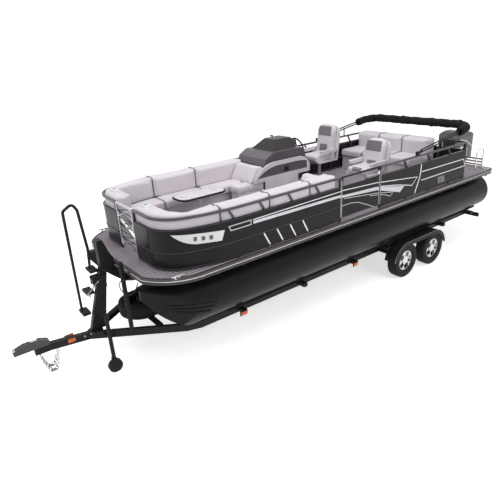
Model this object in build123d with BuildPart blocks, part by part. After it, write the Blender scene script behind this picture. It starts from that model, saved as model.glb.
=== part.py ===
from build123d import *
import os
from math import asin, atan2, cos, degrees, hypot, pi, radians, sin, sqrt, tan

os.makedirs("parts", exist_ok=True)

# Frame of the model, in millimetres: +X to port, +Y to the stern, +Z up, ground at zero.
# Stations along the boat are measured from the middle of the whole length.

# Clearances that every fit is taken from
seat_gap = 0.3
running_gap = 6
overrun = 40

# Driving dimensions of the trailer
axle_fore = 1380
axle_pitch = 850
tyre_radius = 331
tyre_wide = 205
tyre_inset = 127
frame_low = 495
frame_high = 110
frame_inset = 40
cross_member_high = 60
cradle_rise = 52

# Driving dimensions of the boat, which stands on the trailer's cross members and bunks
half_beam = 1295
tube_radius = 343
tube_inset = 395
deck_rise = 152
deck_thick = 26
deck_bow = -3660
deck_shoulder = -2920
deck_stern = 4230
fence_inset = 60
fence_bow = -3390
fence_rise = 711
fence_tube = 32
fence_end = 3140

tube_spacing = half_beam - tube_inset
frame_top = frame_low + frame_high
member_top = frame_top + cross_member_high
tube_height = member_top + cradle_rise + tube_radius
deck_top = tube_height + tube_radius + deck_rise
fence_half = half_beam - fence_inset
tyre_centre = half_beam - tyre_inset
frame_half = tube_spacing - frame_inset

sides = (("port", 1), ("starboard", -1))


def slab(x_low, x_high, y_low, y_high, z_low, z_high, mode=Mode.ADD):
    # A plain block between six faces, added to or cut from the piece at hand
    middle = ((x_low + x_high) / 2, (y_low + y_high) / 2, (z_low + z_high) / 2)
    with Locations(middle):
        Box(x_high - x_low, y_high - y_low, z_high - z_low, mode=mode)


def rod(start, end, radius, mode=Mode.ADD):
    # A round bar from one point to another
    line = Vector(*end) - Vector(*start)
    with Locations(Plane(origin=start, z_dir=line)):
        Cylinder(radius, line.length, align=(Align.CENTER, Align.CENTER, Align.MIN), mode=mode)


def side_prism(points, x_low, x_high, mode=Mode.ADD):
    # A side view outline of (y, z) points, carried from one x to another
    with BuildSketch(Plane.YZ.offset(x_low)) as outline:
        with BuildLine():
            Polyline(*points, close=True)
        make_face()
    extrude(outline.sketch, amount=x_high - x_low, mode=mode)


# Deck plan: straight sides, swept bow with round shoulders, round stern corners
bow_flat_inset = 435
bow_sweep = 20
bow_bulge_x = 135
bow_bulge_y = 270
deck_corner = 180
notch_half = 380
notch_deep = 150
bow_flat_half = half_beam - bow_flat_inset


def deck_plan(inset):
    with BuildSketch() as plan:
        with BuildLine():
            start = (half_beam, deck_stern)
            side = Line(start, (half_beam, deck_shoulder))
            corner_end = (bow_flat_half, deck_bow + bow_sweep)
            via = (half_beam - bow_bulge_x, deck_bow + bow_bulge_y)
            corner = ThreePointArc(side @ 1, via, corner_end)
            Line(corner @ 1, (0, deck_bow))
            mirror(about=Plane.YZ)
            Line(start, (-half_beam, deck_stern))
        make_face()
        fillet(plan.vertices().group_by(Axis.Y)[-1], deck_corner)
        with Locations((0, deck_stern)):
            Rectangle(2 * notch_half, 2 * notch_deep, mode=Mode.SUBTRACT)
        if inset:
            offset(amount=-inset, kind=Kind.INTERSECTION)
    return plan.sketch


# Cockpit plan: the outer face of the fence all round
bend_start = -2320
bend_inset = 130
bend_y = -3080
corner_inset = 545
bend_x = fence_half - bend_inset
corner_x = fence_half - corner_inset


def cockpit_plan(inset):
    with BuildSketch() as plan:
        with BuildLine():
            start = (fence_half, fence_end)
            side = Line(start, (fence_half, bend_start))
            bend = TangentArc(side @ 1, (bend_x, bend_y), tangent=side % 1)
            corner = TangentArc(bend @ 1, (corner_x, fence_bow), tangent=bend % 1)
            Line(corner @ 1, (0, fence_bow))
            mirror(about=Plane.YZ)
            Line(start, (-fence_half, fence_end))
        make_face()
        if inset:
            offset(amount=-inset, kind=Kind.INTERSECTION)
    return plan.sketch


# Rub rail: a ribbed extrusion that grips the edge of the deck
rub_thick = 28
rub_lip = 6
rub_lip_high = 16
rub_above = 4
rub_below = 54
rail_inset = rub_thick + rub_lip

with BuildPart() as deck_floor:
    with BuildSketch(Plane.XY.offset(deck_top - deck_thick)):
        add(deck_plan(rail_inset + seat_gap))
    extrude(amount=deck_thick)
deck_floor.part.label = "deck_floor"
export_step(deck_floor.part, "parts/deck_floor.step")

rub_low = deck_top - deck_thick - rub_below
rub_high = deck_top + rub_above
with BuildPart() as rub_rail:
    for low, high, inset in (
        (rub_low, rub_high, rub_lip),
        (rub_low, rub_low + rub_lip_high, 0),
        (rub_high - rub_lip_high, rub_high, 0),
    ):
        with BuildSketch(Plane.XY.offset(low)):
            add(deck_plan(inset))
            add(deck_plan(rail_inset), mode=Mode.SUBTRACT)
        extrude(amount=high - low)
rub_rail.part.label = "rub_rail"
export_step(rub_rail.part, "parts/rub_rail.step")

# Pontoon tubes: round tubes with pressed nose cones, raked in side view and pointed in plan.
# The centre tube starts further aft, behind the spare wheel
tube_setback = 80
tube_stern = deck_stern - tube_setback
nose_tip = -3700
nose_keel = -2720
nose_rise = 560
nose_plan = -2960
nose_run_in = 3
nose_half = 30
centre_setback = 600
rib_proud = 12
rib_high = 24
rib_pitch = 56
rib_count = 3
rib_aft = -2780
rib_fore = -3470
rib_drop = 20
rib_climb = 130


def nose_form(x_centre, setback, grow):
    # The whole tube with its nose, grown outwards on all sides for the ribs' skin
    reach = tube_radius + nose_run_in + grow
    tip = nose_tip + setback
    with BuildPart() as form:
        middle = Plane(origin=(x_centre, tip, tube_height), x_dir=(1, 0, 0), z_dir=(0, 1, 0))
        with BuildSketch(middle):
            Circle(tube_radius + grow)
        extrude(amount=tube_stern - tip)
        # Side view: the keel sweeps up to the tip
        with BuildSketch(Plane.YZ.offset(x_centre)):
            with BuildLine():
                top = tube_height + reach
                keel = tube_height - reach
                flat = Line((tube_stern, keel), (nose_keel + setback, keel))
                rise = TangentArc(flat @ 1, (tip, keel + nose_rise), tangent=flat % 1)
                Polyline(rise @ 1, (tip, top), (tube_stern, top), (tube_stern, keel))
            make_face()
        extrude(amount=reach, both=True, mode=Mode.INTERSECT)
        # Plan view: both cheeks close to the welded stem
        with BuildSketch(Plane.XY.offset(tube_height - reach)):
            with BuildLine():
                for side in (1, -1):
                    wall = Line(
                        (x_centre + side * reach, tube_stern),
                        (x_centre + side * reach, nose_plan + setback),
                    )
                    cheek = TangentArc(
                        wall @ 1, (x_centre + side * (nose_half + grow), tip), tangent=wall % 1
                    )
                Line((x_centre - nose_half - grow, tip), (x_centre + nose_half + grow, tip))
                Line((x_centre - reach, tube_stern), (x_centre + reach, tube_stern))
            make_face()
        extrude(amount=2 * reach, mode=Mode.INTERSECT)
    return form.part


def pontoon(x_centre, setback, name):
    # Pressed ribs run along both cheeks and climb with the nose
    with BuildPart() as ribs:
        for index in range(rib_count):
            low = tube_height - rib_drop - index * rib_pitch
            taper = index * rib_pitch
            outline = (
                (rib_aft + setback - taper, low),
                (rib_fore + setback + taper, low + rib_climb),
                (rib_fore + setback + taper + rib_high, low + rib_climb + rib_high),
                (rib_aft + setback - taper, low + rib_high),
            )
            side_prism(outline, x_centre - tube_radius - overrun, x_centre + tube_radius + overrun)
        add(nose_form(x_centre, setback, rib_proud), mode=Mode.INTERSECT)
    with BuildPart() as tube:
        add(nose_form(x_centre, setback, 0))
        add(ribs.part)
    tube.part.label = name
    export_step(tube.part, f"parts/{name}.step")


for side_name, side in sides:
    pontoon(side * tube_spacing, 0, f"pontoon_{side_name}")
pontoon(0, centre_setback, "pontoon_centre")

# Deck frame: cross channels on risers that stand along the top of each tube
cross_high = 90
cross_wide = 44
cross_web = 11
cross_pitch = 410
cross_fore = -3180
cross_aft = 3950
riser_thick = 8
riser_half = 120
riser_fore = -3300
cross_top = deck_top - deck_thick - seat_gap
cross_low = cross_top - cross_high
riser_edge = riser_half - riser_thick / 2
riser_low = tube_height + sqrt(tube_radius**2 - riser_edge**2) + seat_gap
frame_reach = half_beam - rail_inset - 3 * seat_gap

with BuildPart() as deck_frame:
    count = round((cross_aft - cross_fore) / cross_pitch)
    for index in range(count + 1):
        station = cross_fore + index * (cross_aft - cross_fore) / count
        reach = frame_reach if station > deck_shoulder else bow_flat_half
        profile = (
            (station, cross_low),
            (station + cross_wide, cross_low),
            (station + cross_wide, cross_low + cross_web),
            (station + cross_web, cross_low + cross_web),
            (station + cross_web, cross_top - cross_web),
            (station + cross_wide, cross_top - cross_web),
            (station + cross_wide, cross_top),
            (station, cross_top),
        )
        side_prism(profile, -reach, reach)
    for x_centre, setback in ((-tube_spacing, 0), (0, centre_setback), (tube_spacing, 0)):
        for edge in (-1, 1):
            x_plate = x_centre + edge * riser_half
            slab(x_plate - riser_thick / 2, x_plate + riser_thick / 2, riser_fore + setback,
                 cross_aft + cross_wide, riser_low, cross_low - seat_gap)
deck_frame.part.label = "deck_frame"
export_step(deck_frame.part, "parts/deck_frame.step")

# Fence: square tube rails with slanted struts, closed below by painted panels
fence_foot = 22
fence_gap_high = 150
fence_mid_rise = 235
panel_thick = 4
panel_gap = 0.4
strut_wide = 26
strut_lean = 100
bow_gate_half = 280
gate_play = 12
side_gate_fore = -400
side_gate_aft = 530
stern_gate_inner = 640
rail_top = deck_top + fence_rise
upper_rail = rail_top - fence_gap_high - fence_tube
mid_rail = deck_top + fence_mid_rise
foot_rail = deck_top + fence_foot
post_low = deck_top + seat_gap
fence_inner = fence_half - panel_thick - fence_tube
stern_inner = fence_end - panel_thick - fence_tube

# Each fence: name, side, fore end or the bow gate, aft end, strut stations
fences = (
    ("front_port", 1, None, side_gate_fore, (-2400, -1900, -1390, -860)),
    ("front_starboard", -1, None, side_gate_fore, (-2400, -1900, -1390, -860)),
    ("aft_port", 1, side_gate_aft, fence_end, (1240, 1920, 2560)),
    ("aft_starboard", -1, side_gate_fore, fence_end, (120, 640, 1240, 1920, 2560)),
)


def fence_region(side, y_low, y_high):
    # Keeps the stretch of fence between two stations, and outboard of the bow gate
    reach = fence_half - bow_gate_half
    middle = side * (bow_gate_half + reach / 2)
    with Locations((middle, (y_low + y_high) / 2)):
        Rectangle(reach, y_high - y_low, mode=Mode.INTERSECT)


def fence_ring(low, high, outer, inner, side, y_low, y_high):
    with BuildSketch(Plane.XY.offset(low)) as ring:
        add(cockpit_plan(outer))
        add(cockpit_plan(inner), mode=Mode.SUBTRACT)
        fence_region(side, y_low, y_high)
    extrude(ring.sketch, amount=high - low)


def bend_shift(y):
    # How far the fence has turned inboard at a station ahead of the straight side
    run = max(bend_start - y, 0)
    across, along = fence_half - bend_x, bend_start - bend_y
    radius = (across**2 + along**2) / (2 * across)
    return radius - sqrt(radius**2 - run**2)


def fence_frame(side, fore, aft, struts):
    y_low = fence_bow if fore is None else fore
    y_high = min(aft, stern_inner)
    x_low, x_high = sorted((side * fence_inner, side * (fence_inner + fence_tube)))
    for low in (foot_rail, mid_rail, upper_rail, rail_top - fence_tube):
        fence_ring(low, low + fence_tube, panel_thick, panel_thick + fence_tube, side, y_low,
                   y_high)
    if fore is None:
        x_near, x_far = sorted((side * bow_gate_half, side * (bow_gate_half + fence_tube)))
        slab(x_near, x_far, fence_bow + panel_thick, fence_bow + panel_thick + fence_tube,
             post_low, rail_top)
    else:
        slab(x_low, x_high, fore, fore + fence_tube, post_low, rail_top)
    slab(x_low, x_high, y_high - fence_tube, y_high, post_low, rail_top)
    for station in struts:
        outline = (
            (station, upper_rail + fence_tube / 2),
            (station + strut_wide, upper_rail + fence_tube / 2),
            (station + strut_wide - strut_lean, rail_top - fence_tube / 2),
            (station - strut_lean, rail_top - fence_tube / 2),
        )
        shift = side * bend_shift(station - strut_lean / 2)
        side_prism(outline, x_low - shift, x_high - shift)
        shift = side * bend_shift(station)
        slab(x_low - shift, x_high - shift, station, station + fence_tube, post_low,
             upper_rail + fence_tube / 2)


def fence_panel(side, fore, aft):
    y_low = fence_bow if fore is None else fore
    fence_ring(foot_rail, upper_rail + fence_tube, 0, panel_thick - panel_gap, side, y_low,
               min(aft, stern_inner))


stern_low = -fence_inner + seat_gap
for place, runs in (("front", fences[:2]), ("aft", fences[2:])):
    with BuildPart() as frame:
        for name, side, fore, aft, struts in runs:
            fence_frame(side, fore, aft, struts)
        if place == "aft":
            for low in (foot_rail, mid_rail, upper_rail):
                slab(stern_low, stern_gate_inner, stern_inner, stern_inner + fence_tube, low,
                     low + fence_tube)
            for x_post in (stern_low, stern_low / 2, 0, stern_gate_inner - fence_tube):
                slab(x_post, x_post + fence_tube, stern_inner, stern_inner + fence_tube,
                     post_low, upper_rail + fence_tube)
    frame.part.label = f"fence_{place}"
    export_step(frame.part, f"parts/fence_{place}.step")
    with BuildPart() as panel:
        for name, side, fore, aft, struts in runs:
            fence_panel(side, fore, aft)
        if place == "aft":
            slab(stern_low, stern_gate_inner, fence_end - panel_thick + panel_gap, fence_end,
                 foot_rail, upper_rail + fence_tube)
    panel.part.label = f"panels_{place}"
    export_step(panel.part, f"parts/panels_{place}.step")

# Docking lamps: wedge lenses let into the curved front corners
lamp_proud = 9
lamp_tip = -3235
lamp_aft = -2570
lamp_top = deck_top + 500
lamp_drop = 55
lamp_high = 130
lamp_slant = 50
lamp_belly = -2930
lamp_side_low = 800
with BuildPart() as lamps:
    with BuildSketch(Plane.YZ) as outline:
        with BuildLine():
            upper = Line((lamp_tip, lamp_top), (lamp_aft, lamp_top - lamp_drop))
            low = lamp_top - lamp_drop - lamp_high
            end = Line(upper @ 1, (lamp_aft - lamp_slant, low))
            belly = Line(end @ 1, (lamp_belly, low + lamp_slant / 2))
            TangentArc(belly @ 1, (lamp_tip, lamp_top), tangent=belly % 1)
        make_face()
    extrude(outline.sketch, amount=half_beam, both=True)
    with BuildSketch(Plane.XY.offset(deck_top)) as lens:
        add(cockpit_plan(-lamp_proud))
        add(cockpit_plan(-seat_gap), mode=Mode.SUBTRACT)
        with Locations((0, (lamp_tip + lamp_aft) / 2)):
            Rectangle(2 * lamp_side_low, 2 * fence_rise, mode=Mode.SUBTRACT)
    extrude(lens.sketch, amount=fence_rise, mode=Mode.INTERSECT)
lamps.part.label = "docking_lamps"
export_step(lamps.part, "parts/docking_lamps.step")

# Gates: tube frames hung between the posts, closed by a pressed sheet or a lattice of bars
gate_tube = 28
gate_foot = 60
gate_sheet = 5
lattice_bar = 22
lattice_cells = 3
hinge_shares = (0.15, 0.85)
gate_low = deck_top + gate_foot
gate_high = rail_top - gate_low


def gate(name, plane, length, closed):
    # The leaf lies in its plane: local x from the hinge, local y up, thickness along the normal
    with BuildPart() as leaf:
        with BuildSketch(plane):
            with Locations((length / 2, gate_high / 2)):
                RectangleRounded(length, gate_high, gate_tube / 2)
                Rectangle(length - 2 * gate_tube, gate_high - 2 * gate_tube, mode=Mode.SUBTRACT)
            if closed:
                for rail in (mid_rail, upper_rail):
                    with Locations((length / 2, rail + gate_tube / 2 - gate_low)):
                        Rectangle(length, gate_tube)
            else:
                inner = gate_high - gate_tube
                for index in range(lattice_cells):
                    foot = gate_tube / 2 + index * inner / lattice_cells
                    head = foot + inner / lattice_cells
                    lean = (1, -1)[index % 2]
                    ends = sorted((gate_tube / 2, length - gate_tube / 2), reverse=lean < 0)
                    with BuildLine():
                        Polyline(
                            (ends[0] - lattice_bar / 2, foot), (ends[0] + lattice_bar / 2, foot),
                            (ends[1] + lattice_bar / 2, head), (ends[1] - lattice_bar / 2, head),
                            close=True,
                        )
                    make_face()
        extrude(amount=gate_tube)
        if closed:
            with BuildSketch(plane.offset(gate_tube - gate_sheet)):
                with Locations((length / 2, (upper_rail + gate_tube - gate_low) / 2)):
                    Rectangle(length, upper_rail + gate_tube - gate_low)
            extrude(amount=gate_sheet)
        # Hinge barrels in the gap beside the post, each with a tab to the leaf
        barrel = gate_play / 2 - seat_gap
        for share in hinge_shares:
            high = gate_high * share
            pin = plane.from_local_coords((-gate_play / 2, high - gate_tube, 0))
            rod(pin, plane.from_local_coords((-gate_play / 2, high + gate_tube, 0)), barrel)
            with BuildSketch(plane) as tab:
                with Locations((0, high)):
                    Rectangle(gate_play, 2 * gate_tube)
            extrude(tab.sketch, amount=barrel)
    leaf.part.label = name
    export_step(leaf.part, f"parts/{name}.step")


bow_leaf = 2 * bow_gate_half - 2 * gate_play
bow_gate_inner_y = fence_bow + panel_thick + fence_tube / 2 + gate_tube / 2
bow_plane = Plane(
    origin=(-bow_gate_half + gate_play, bow_gate_inner_y, gate_low), x_dir=(1, 0, 0),
    z_dir=(0, -1, 0),
)
gate("bow_gate", bow_plane, bow_leaf, False)
side_leaf = side_gate_aft - side_gate_fore - 2 * gate_play
side_plane = Plane(
    origin=(fence_half - panel_thick - fence_tube / 2 - gate_tube / 2,
            side_gate_fore + gate_play, gate_low),
    x_dir=(0, 1, 0), z_dir=(1, 0, 0),
)
gate("side_gate", side_plane, side_leaf, True)
stern_leaf = fence_inner - stern_gate_inner - 2 * gate_play
stern_plane = Plane(
    origin=(fence_inner - gate_play, stern_inner + (fence_tube - gate_tube) / 2, gate_low),
    x_dir=(-1, 0, 0), z_dir=(0, 1, 0),
)
gate("stern_gate", stern_plane, stern_leaf, True)

# Front lounges: moulded bases, seat pads and tall backs that follow the fence round the bow
lounge_depth = 600
lounge_gate_gap = 50
lounge_corner = 220
seat_rise = 430
seat_thick = 130
back_thick = 240
back_rise = 750
back_corner = 160
cushion_gap = 8
soft_edge = 40
lounge_wall = panel_thick + fence_tube + cushion_gap
base_step = 60
seat_low = deck_top + seat_rise - seat_thick
chaise_aft = -660
lounges = (("port", 1, -480), ("starboard", -1, chaise_aft))
chaise_thick = 190
chaise_lean = 110
chaise_top = 700
chaise_wider = 261
lounge_inner = fence_inner - cushion_gap - lounge_depth
chaise_inner = lounge_inner - chaise_wider
chaise_deep = 560


def lounge_band(side, y_aft, near, far, low, high):
    # The band from one inset of the cockpit plan to another, on one side of the bow gate
    inner = fence_inner - cushion_gap - far
    fore = fence_bow + lounge_wall + far
    x_low, x_high = sorted((side * (bow_gate_half + lounge_gate_gap), side * fence_half))
    with BuildSketch() as aisle:
        with Locations((0, (fore + y_aft + overrun) / 2)):
            Rectangle(2 * inner, y_aft + overrun - fore)
        fillet(aisle.vertices().group_by(Axis.Y)[0], lounge_corner)
    with BuildSketch(Plane.XY.offset(low)) as band:
        add(cockpit_plan(lounge_wall + near))
        with Locations(((x_low + x_high) / 2, (fence_bow + y_aft) / 2)):
            Rectangle(x_high - x_low, y_aft - fence_bow, mode=Mode.INTERSECT)
        add(aisle.sketch, mode=Mode.SUBTRACT)
    extrude(band.sketch, amount=high - low)


# Aft lounge across the stern shares the heights of the front ones
aft_port = 560
aft_starboard = -fence_inner + cushion_gap
aft_deep = 560
aft_thick = 296
aft_end = stern_inner - cushion_gap
aft_back = aft_end - aft_thick
aft_fore = aft_back - aft_deep
aft_rise = 735
aft_high = deck_top + aft_rise
back_high = deck_top + back_rise

with BuildPart() as bases:
    for side_name, side, y_aft in lounges:
        lounge_band(side, y_aft, 0, lounge_depth - base_step, post_low, seat_low)
    slab(aft_starboard, aft_port, aft_fore + base_step, aft_end, post_low, seat_low)
    # The starboard lounge widens into a chaise ahead of the helm
    slab(seat_gap - lounge_inner + base_step, -chaise_inner - cushion_gap,
         chaise_aft - chaise_deep, chaise_aft, post_low, seat_low)

for side_name, side, y_aft in lounges:
    with BuildPart() as seat:
        lounge_band(side, y_aft, back_thick + cushion_gap, lounge_depth, seat_low + seat_gap,
                    seat_low + seat_thick)
        fillet(seat.faces().sort_by(Axis.Z)[-1].edges(), soft_edge)
    seat.part.label = f"lounge_seat_{side_name}"
    export_step(seat.part, f"parts/lounge_seat_{side_name}.step")
    with BuildPart() as back:
        lounge_band(side, y_aft, 0, back_thick, seat_low + seat_gap, back_high)
        fillet(back.faces().sort_by(Axis.Z)[-1].edges(), soft_edge)
    back.part.label = f"lounge_back_{side_name}"
    export_step(back.part, f"parts/lounge_back_{side_name}.step")

with BuildPart() as aft_seat:
    slab(aft_starboard, aft_port, aft_fore, aft_back - cushion_gap, seat_low + seat_gap,
         seat_low + seat_thick)
    fillet(aft_seat.faces().sort_by(Axis.Z)[-1].edges(), soft_edge)
aft_seat.part.label = "aft_lounge_seat"
export_step(aft_seat.part, "parts/aft_lounge_seat.step")
with BuildPart() as aft_rest:
    slab(aft_starboard, aft_port, aft_back, aft_end, seat_low + seat_gap, aft_high)
    fillet(aft_rest.faces().sort_by(Axis.Z)[-1].edges(), soft_edge)
aft_rest.part.label = "aft_lounge_back"
export_step(aft_rest.part, "parts/aft_lounge_back.step")

# Chaise pads: a leaning rest across the aft end of each front lounge, and the wider seat
chaise_high = deck_top + chaise_top
rest_foot = seat_low + seat_thick + seat_gap
with BuildPart() as chaise_pads:
    for side_name, side, y_aft in lounges:
        outer = fence_inner - cushion_gap - back_thick - cushion_gap
        inner = lounge_inner if side > 0 else chaise_inner + cushion_gap
        x_low, x_high = sorted((side * inner, side * outer))
        rest = (
            (y_aft - chaise_thick - chaise_lean, rest_foot),
            (y_aft, rest_foot),
            (y_aft, chaise_high),
            (y_aft - chaise_thick + chaise_lean / 2, chaise_high),
        )
        side_prism(rest, x_low, x_high)
        if side < 0:
            slab(-lounge_inner + cushion_gap, -inner, y_aft - chaise_deep, y_aft,
                 seat_low + seat_gap, seat_low + seat_thick)
    tops = [e for e in chaise_pads.edges().filter_by(Axis.X) if e.center().Z > rest_foot + overrun]
    fillet(tops, soft_edge)
chaise_pads.part.label = "chaise_pads"
export_step(chaise_pads.part, "parts/chaise_pads.step")

# Helm: console body, dash pod under a visor, and steering wheel
console_fore = -640
console_aft = 380
console_inner = -chaise_inner
console_outer = -fence_inner + cushion_gap
console_rise = 695
console_top = deck_top + console_rise
foot_well = 260
with BuildPart() as console:
    outline = (
        (console_fore, post_low),
        (console_aft - foot_well / 2, post_low),
        (console_aft - foot_well, post_low + foot_well),
        (console_aft - foot_well / 2, console_top - foot_well),
        (console_aft, console_top - foot_well / 2),
        (console_aft, console_top),
        (console_fore, console_top),
    )
    side_prism(outline, console_outer, console_inner)
    fillet(console.edges().filter_by(Axis.Z).group_by(Axis.X)[-1], soft_edge)
console.part.label = "console"
export_step(console.part, "parts/console.step")

# Helm side: the white moulding that sweeps up beside the chaise, with a recessed trim panel
sweep_fore = -890
sweep_aft = 420
sweep_low = 430
sweep_rise = 735
sweep_thick = 30
sweep_inset = 70
sweep_recess = 12
with BuildPart() as helm_side:
    side_low = console_inner + seat_gap
    sweep_foot = deck_top + sweep_low
    for inset, low, high, mode in (
        (0, side_low, side_low + sweep_thick, Mode.ADD),
        (sweep_inset, side_low + sweep_thick - sweep_recess, side_low + sweep_thick + overrun,
         Mode.SUBTRACT),
    ):
        with BuildSketch(Plane.YZ.offset(low)) as outline:
            with BuildLine():
                fore, aft = sweep_fore + inset, sweep_aft - inset
                top = deck_top + sweep_rise - inset
                foot = sweep_foot + inset
                rise = TangentArc((fore + sweep_rise - foot_well, top), (fore, foot),
                                  tangent=(-1, 0))
                crown = Line(rise @ 0, (aft - foot_well, top))
                drop = TangentArc(crown @ 1, (aft, foot + foot_well / 2), tangent=(1, 0))
                Polyline(drop @ 1, (aft, foot), (fore, foot))
            make_face()
        extrude(outline.sketch, amount=high - low, mode=mode)
    slab(side_low, side_low + sweep_thick, console_fore, console_aft - foot_well, post_low,
         sweep_foot + sweep_inset)
with BuildPart() as mouldings:
    add(bases.part)
    add(helm_side.part)
mouldings.part.label = "lounge_bases"
export_step(mouldings.part, "parts/lounge_bases.step")

# Dash pod: a wide lower shelf that carries the raked face for the wheel
dash_fore = -600
dash_high = 180
dash_face_high = 165
dash_low = console_top + seat_gap
dash_lean = 40
dash_top = dash_low + dash_high
dash_face_top = dash_low + dash_face_high
with BuildPart() as dash:
    outline = (
        (dash_fore, dash_low),
        (console_aft, dash_low),
        (console_aft - dash_lean, dash_face_top),
        (console_aft - 3 * dash_lean, dash_top),
        (dash_fore + 5 * dash_lean, dash_top),
        (dash_fore + dash_lean, dash_low + dash_high / 2),
    )
    side_prism(outline, console_outer + overrun, console_inner - overrun)
dash.part.label = "dash"
export_step(dash.part, "parts/dash.step")

# Visor: the faceted hood over the gauges, narrower than the shelf and sloping on both sides
screen_fore = -330
screen_aft = 300
screen_high = 170
screen_rake = 190
screen_side = 150
screen_inset = 90
visor_lip_share = 0.6
screen_low = dash_top + seat_gap
with BuildPart() as screen:
    x_low = console_outer + overrun + screen_inset
    x_high = console_inner - overrun - screen_inset
    outline = (
        (screen_fore, screen_low),
        (screen_aft - screen_inset, screen_low),
        (screen_aft, screen_low + screen_high * visor_lip_share),
        (screen_aft - screen_inset, screen_low + screen_high),
        (screen_fore + screen_rake, screen_low + screen_high),
    )
    side_prism(outline, x_low, x_high)
    with BuildSketch(Plane.XZ.offset(-screen_aft - overrun)) as front:
        with BuildLine():
            Polyline(
                (x_low, screen_low), (x_high, screen_low),
                (x_high - screen_side, screen_low + screen_high),
                (x_low + screen_side, screen_low + screen_high), close=True,
            )
        make_face()
    extrude(front.sketch, amount=screen_aft - screen_fore + 2 * overrun, mode=Mode.INTERSECT)
screen.part.label = "windscreen"
export_step(screen.part, "parts/windscreen.step")

# Steering wheel, square to the raked face of the dash
wheel_radius = 180
wheel_grip = 14
wheel_x = -700
wheel_hub = 45
wheel_reach = 110
wheel_spoke = 22
face_high = dash_face_top - dash_low
column = Plane(
    origin=(wheel_x, console_aft - dash_lean / 2, dash_low + face_high / 2), x_dir=(1, 0, 0),
    z_dir=(0, face_high, dash_lean),
)
with BuildPart() as steering_wheel:
    with BuildSketch(column.offset(seat_gap)):
        Circle(wheel_hub)
    extrude(amount=wheel_reach - seat_gap)
    with BuildSketch(column.offset(wheel_reach - wheel_grip / 2)):
        for turn in (-90, 30, 150):
            with Locations(Rotation(0, 0, turn)):
                Rectangle(wheel_radius, wheel_spoke, align=(Align.MIN, Align.CENTER))
    extrude(amount=wheel_grip)
    with Locations(column.offset(wheel_reach)):
        Torus(wheel_radius, wheel_grip)
steering_wheel.part.label = "steering_wheel"
export_step(steering_wheel.part, "parts/steering_wheel.step")

# Captain chairs: pedestal bolted to the deck, swivelling shell, pads
pedestal_radius = 38
pedestal_foot = 150
foot_thick = 12
chair_half = 265
chair_fore = 250
chair_aft = 250
shell_thick = 30
chair_pad = 110
chair_back = 120
chair_lean = 90
chair_round = 150
chair_nose = 40
head_round_share = 0.7
arm_wide = 60
arm_high = 230
arm_thick = 60
arm_fore = 170
chairs = (
    ("helm_chair", -650, 1010, 470, 1150),
    ("mate_chair", 560, 1000, 400, 990),
)

with BuildPart() as pedestals:
    for name, x, y, rise, top in chairs:
        rod((x, y, post_low), (x, y, deck_top + foot_thick), pedestal_foot)
        rod((x, y, deck_top), (x, y, deck_top + rise - seat_gap), pedestal_radius)
pedestals.part.label = "chair_pedestals"
export_step(pedestals.part, "parts/chair_pedestals.step")

for name, x, y, rise, top in chairs:
    seat = deck_top + rise
    head = deck_top + top
    with BuildPart() as shell:
        outline = (
            (y - chair_fore, seat),
            (y + chair_aft, seat),
            (y + chair_aft + chair_lean, head - overrun),
            (y + chair_aft + chair_lean - shell_thick, head - overrun),
            (y + chair_aft - shell_thick, seat + shell_thick),
            (y - chair_fore, seat + shell_thick),
        )
        side_prism(outline, x - chair_half, x + chair_half)
        # The shell's head is rounded as seen from the front
        with BuildSketch(Plane.XZ.offset(-y - chair_aft - 2 * chair_lean)) as front:
            with Locations((x, (seat + head - overrun) / 2)):
                RectangleRounded(2 * chair_half, head - overrun - seat, chair_round)
            with Locations((x, seat + chair_round)):
                Rectangle(2 * chair_half, 2 * chair_round)
        extrude(front.sketch, amount=2 * chair_fore + 2 * chair_aft + 2 * chair_lean,
                mode=Mode.INTERSECT)
        # Arm rests stand on brackets at each side, rounded at the front
        for side in (-1, 1):
            x_low, x_high = sorted((x + side * chair_half, x + side * (chair_half - arm_wide)))
            with BuildSketch(Plane.YZ.offset(x_low)) as arm:
                with Locations((y + (chair_aft - arm_fore) / 2 - shell_thick / 2,
                                seat + arm_high - arm_thick / 2)):
                    RectangleRounded(chair_aft + arm_fore, arm_thick, arm_thick / 3)
                with Locations((y + chair_aft / 2, seat + arm_high / 2)):
                    Rectangle(arm_wide, arm_high)
            extrude(arm.sketch, amount=x_high - x_low)
    shell.part.label = f"{name}_shell"
    export_step(shell.part, f"parts/{name}_shell.step")
    with BuildPart() as pads:
        inner = chair_half - arm_wide - 2 * seat_gap
        low = seat + shell_thick + seat_gap
        rear = y + chair_aft - shell_thick - seat_gap
        lean = chair_lean * (low + chair_pad - seat) / (head - seat)
        outline = (
            (y - chair_fore - chair_nose, low),
            (rear, low),
            (rear + chair_lean * (head - low) / (head - seat) - seat_gap, head),
            (rear + chair_lean - chair_back, head),
            (rear + lean - chair_back, low + chair_pad),
            (y - chair_fore - chair_nose, low + chair_pad),
        )
        side_prism(outline, x - inner, x + inner)
        with BuildSketch(Plane.XZ.offset(-y - chair_aft - 2 * chair_lean)) as front:
            with Locations((x, (low + head) / 2)):
                RectangleRounded(2 * inner, head - low, inner * head_round_share)
            with Locations((x, low + chair_pad)):
                Rectangle(2 * inner, 2 * chair_pad)
        extrude(front.sketch, amount=2 * chair_fore + 2 * chair_aft + 2 * chair_lean,
                mode=Mode.INTERSECT)
        fillet(pads.faces().sort_by(Axis.Y)[0].edges().filter_by(Axis.X), soft_edge)
    pads.part.label = f"{name}_pads"
    export_step(pads.part, f"parts/{name}_pads.step")

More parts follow.
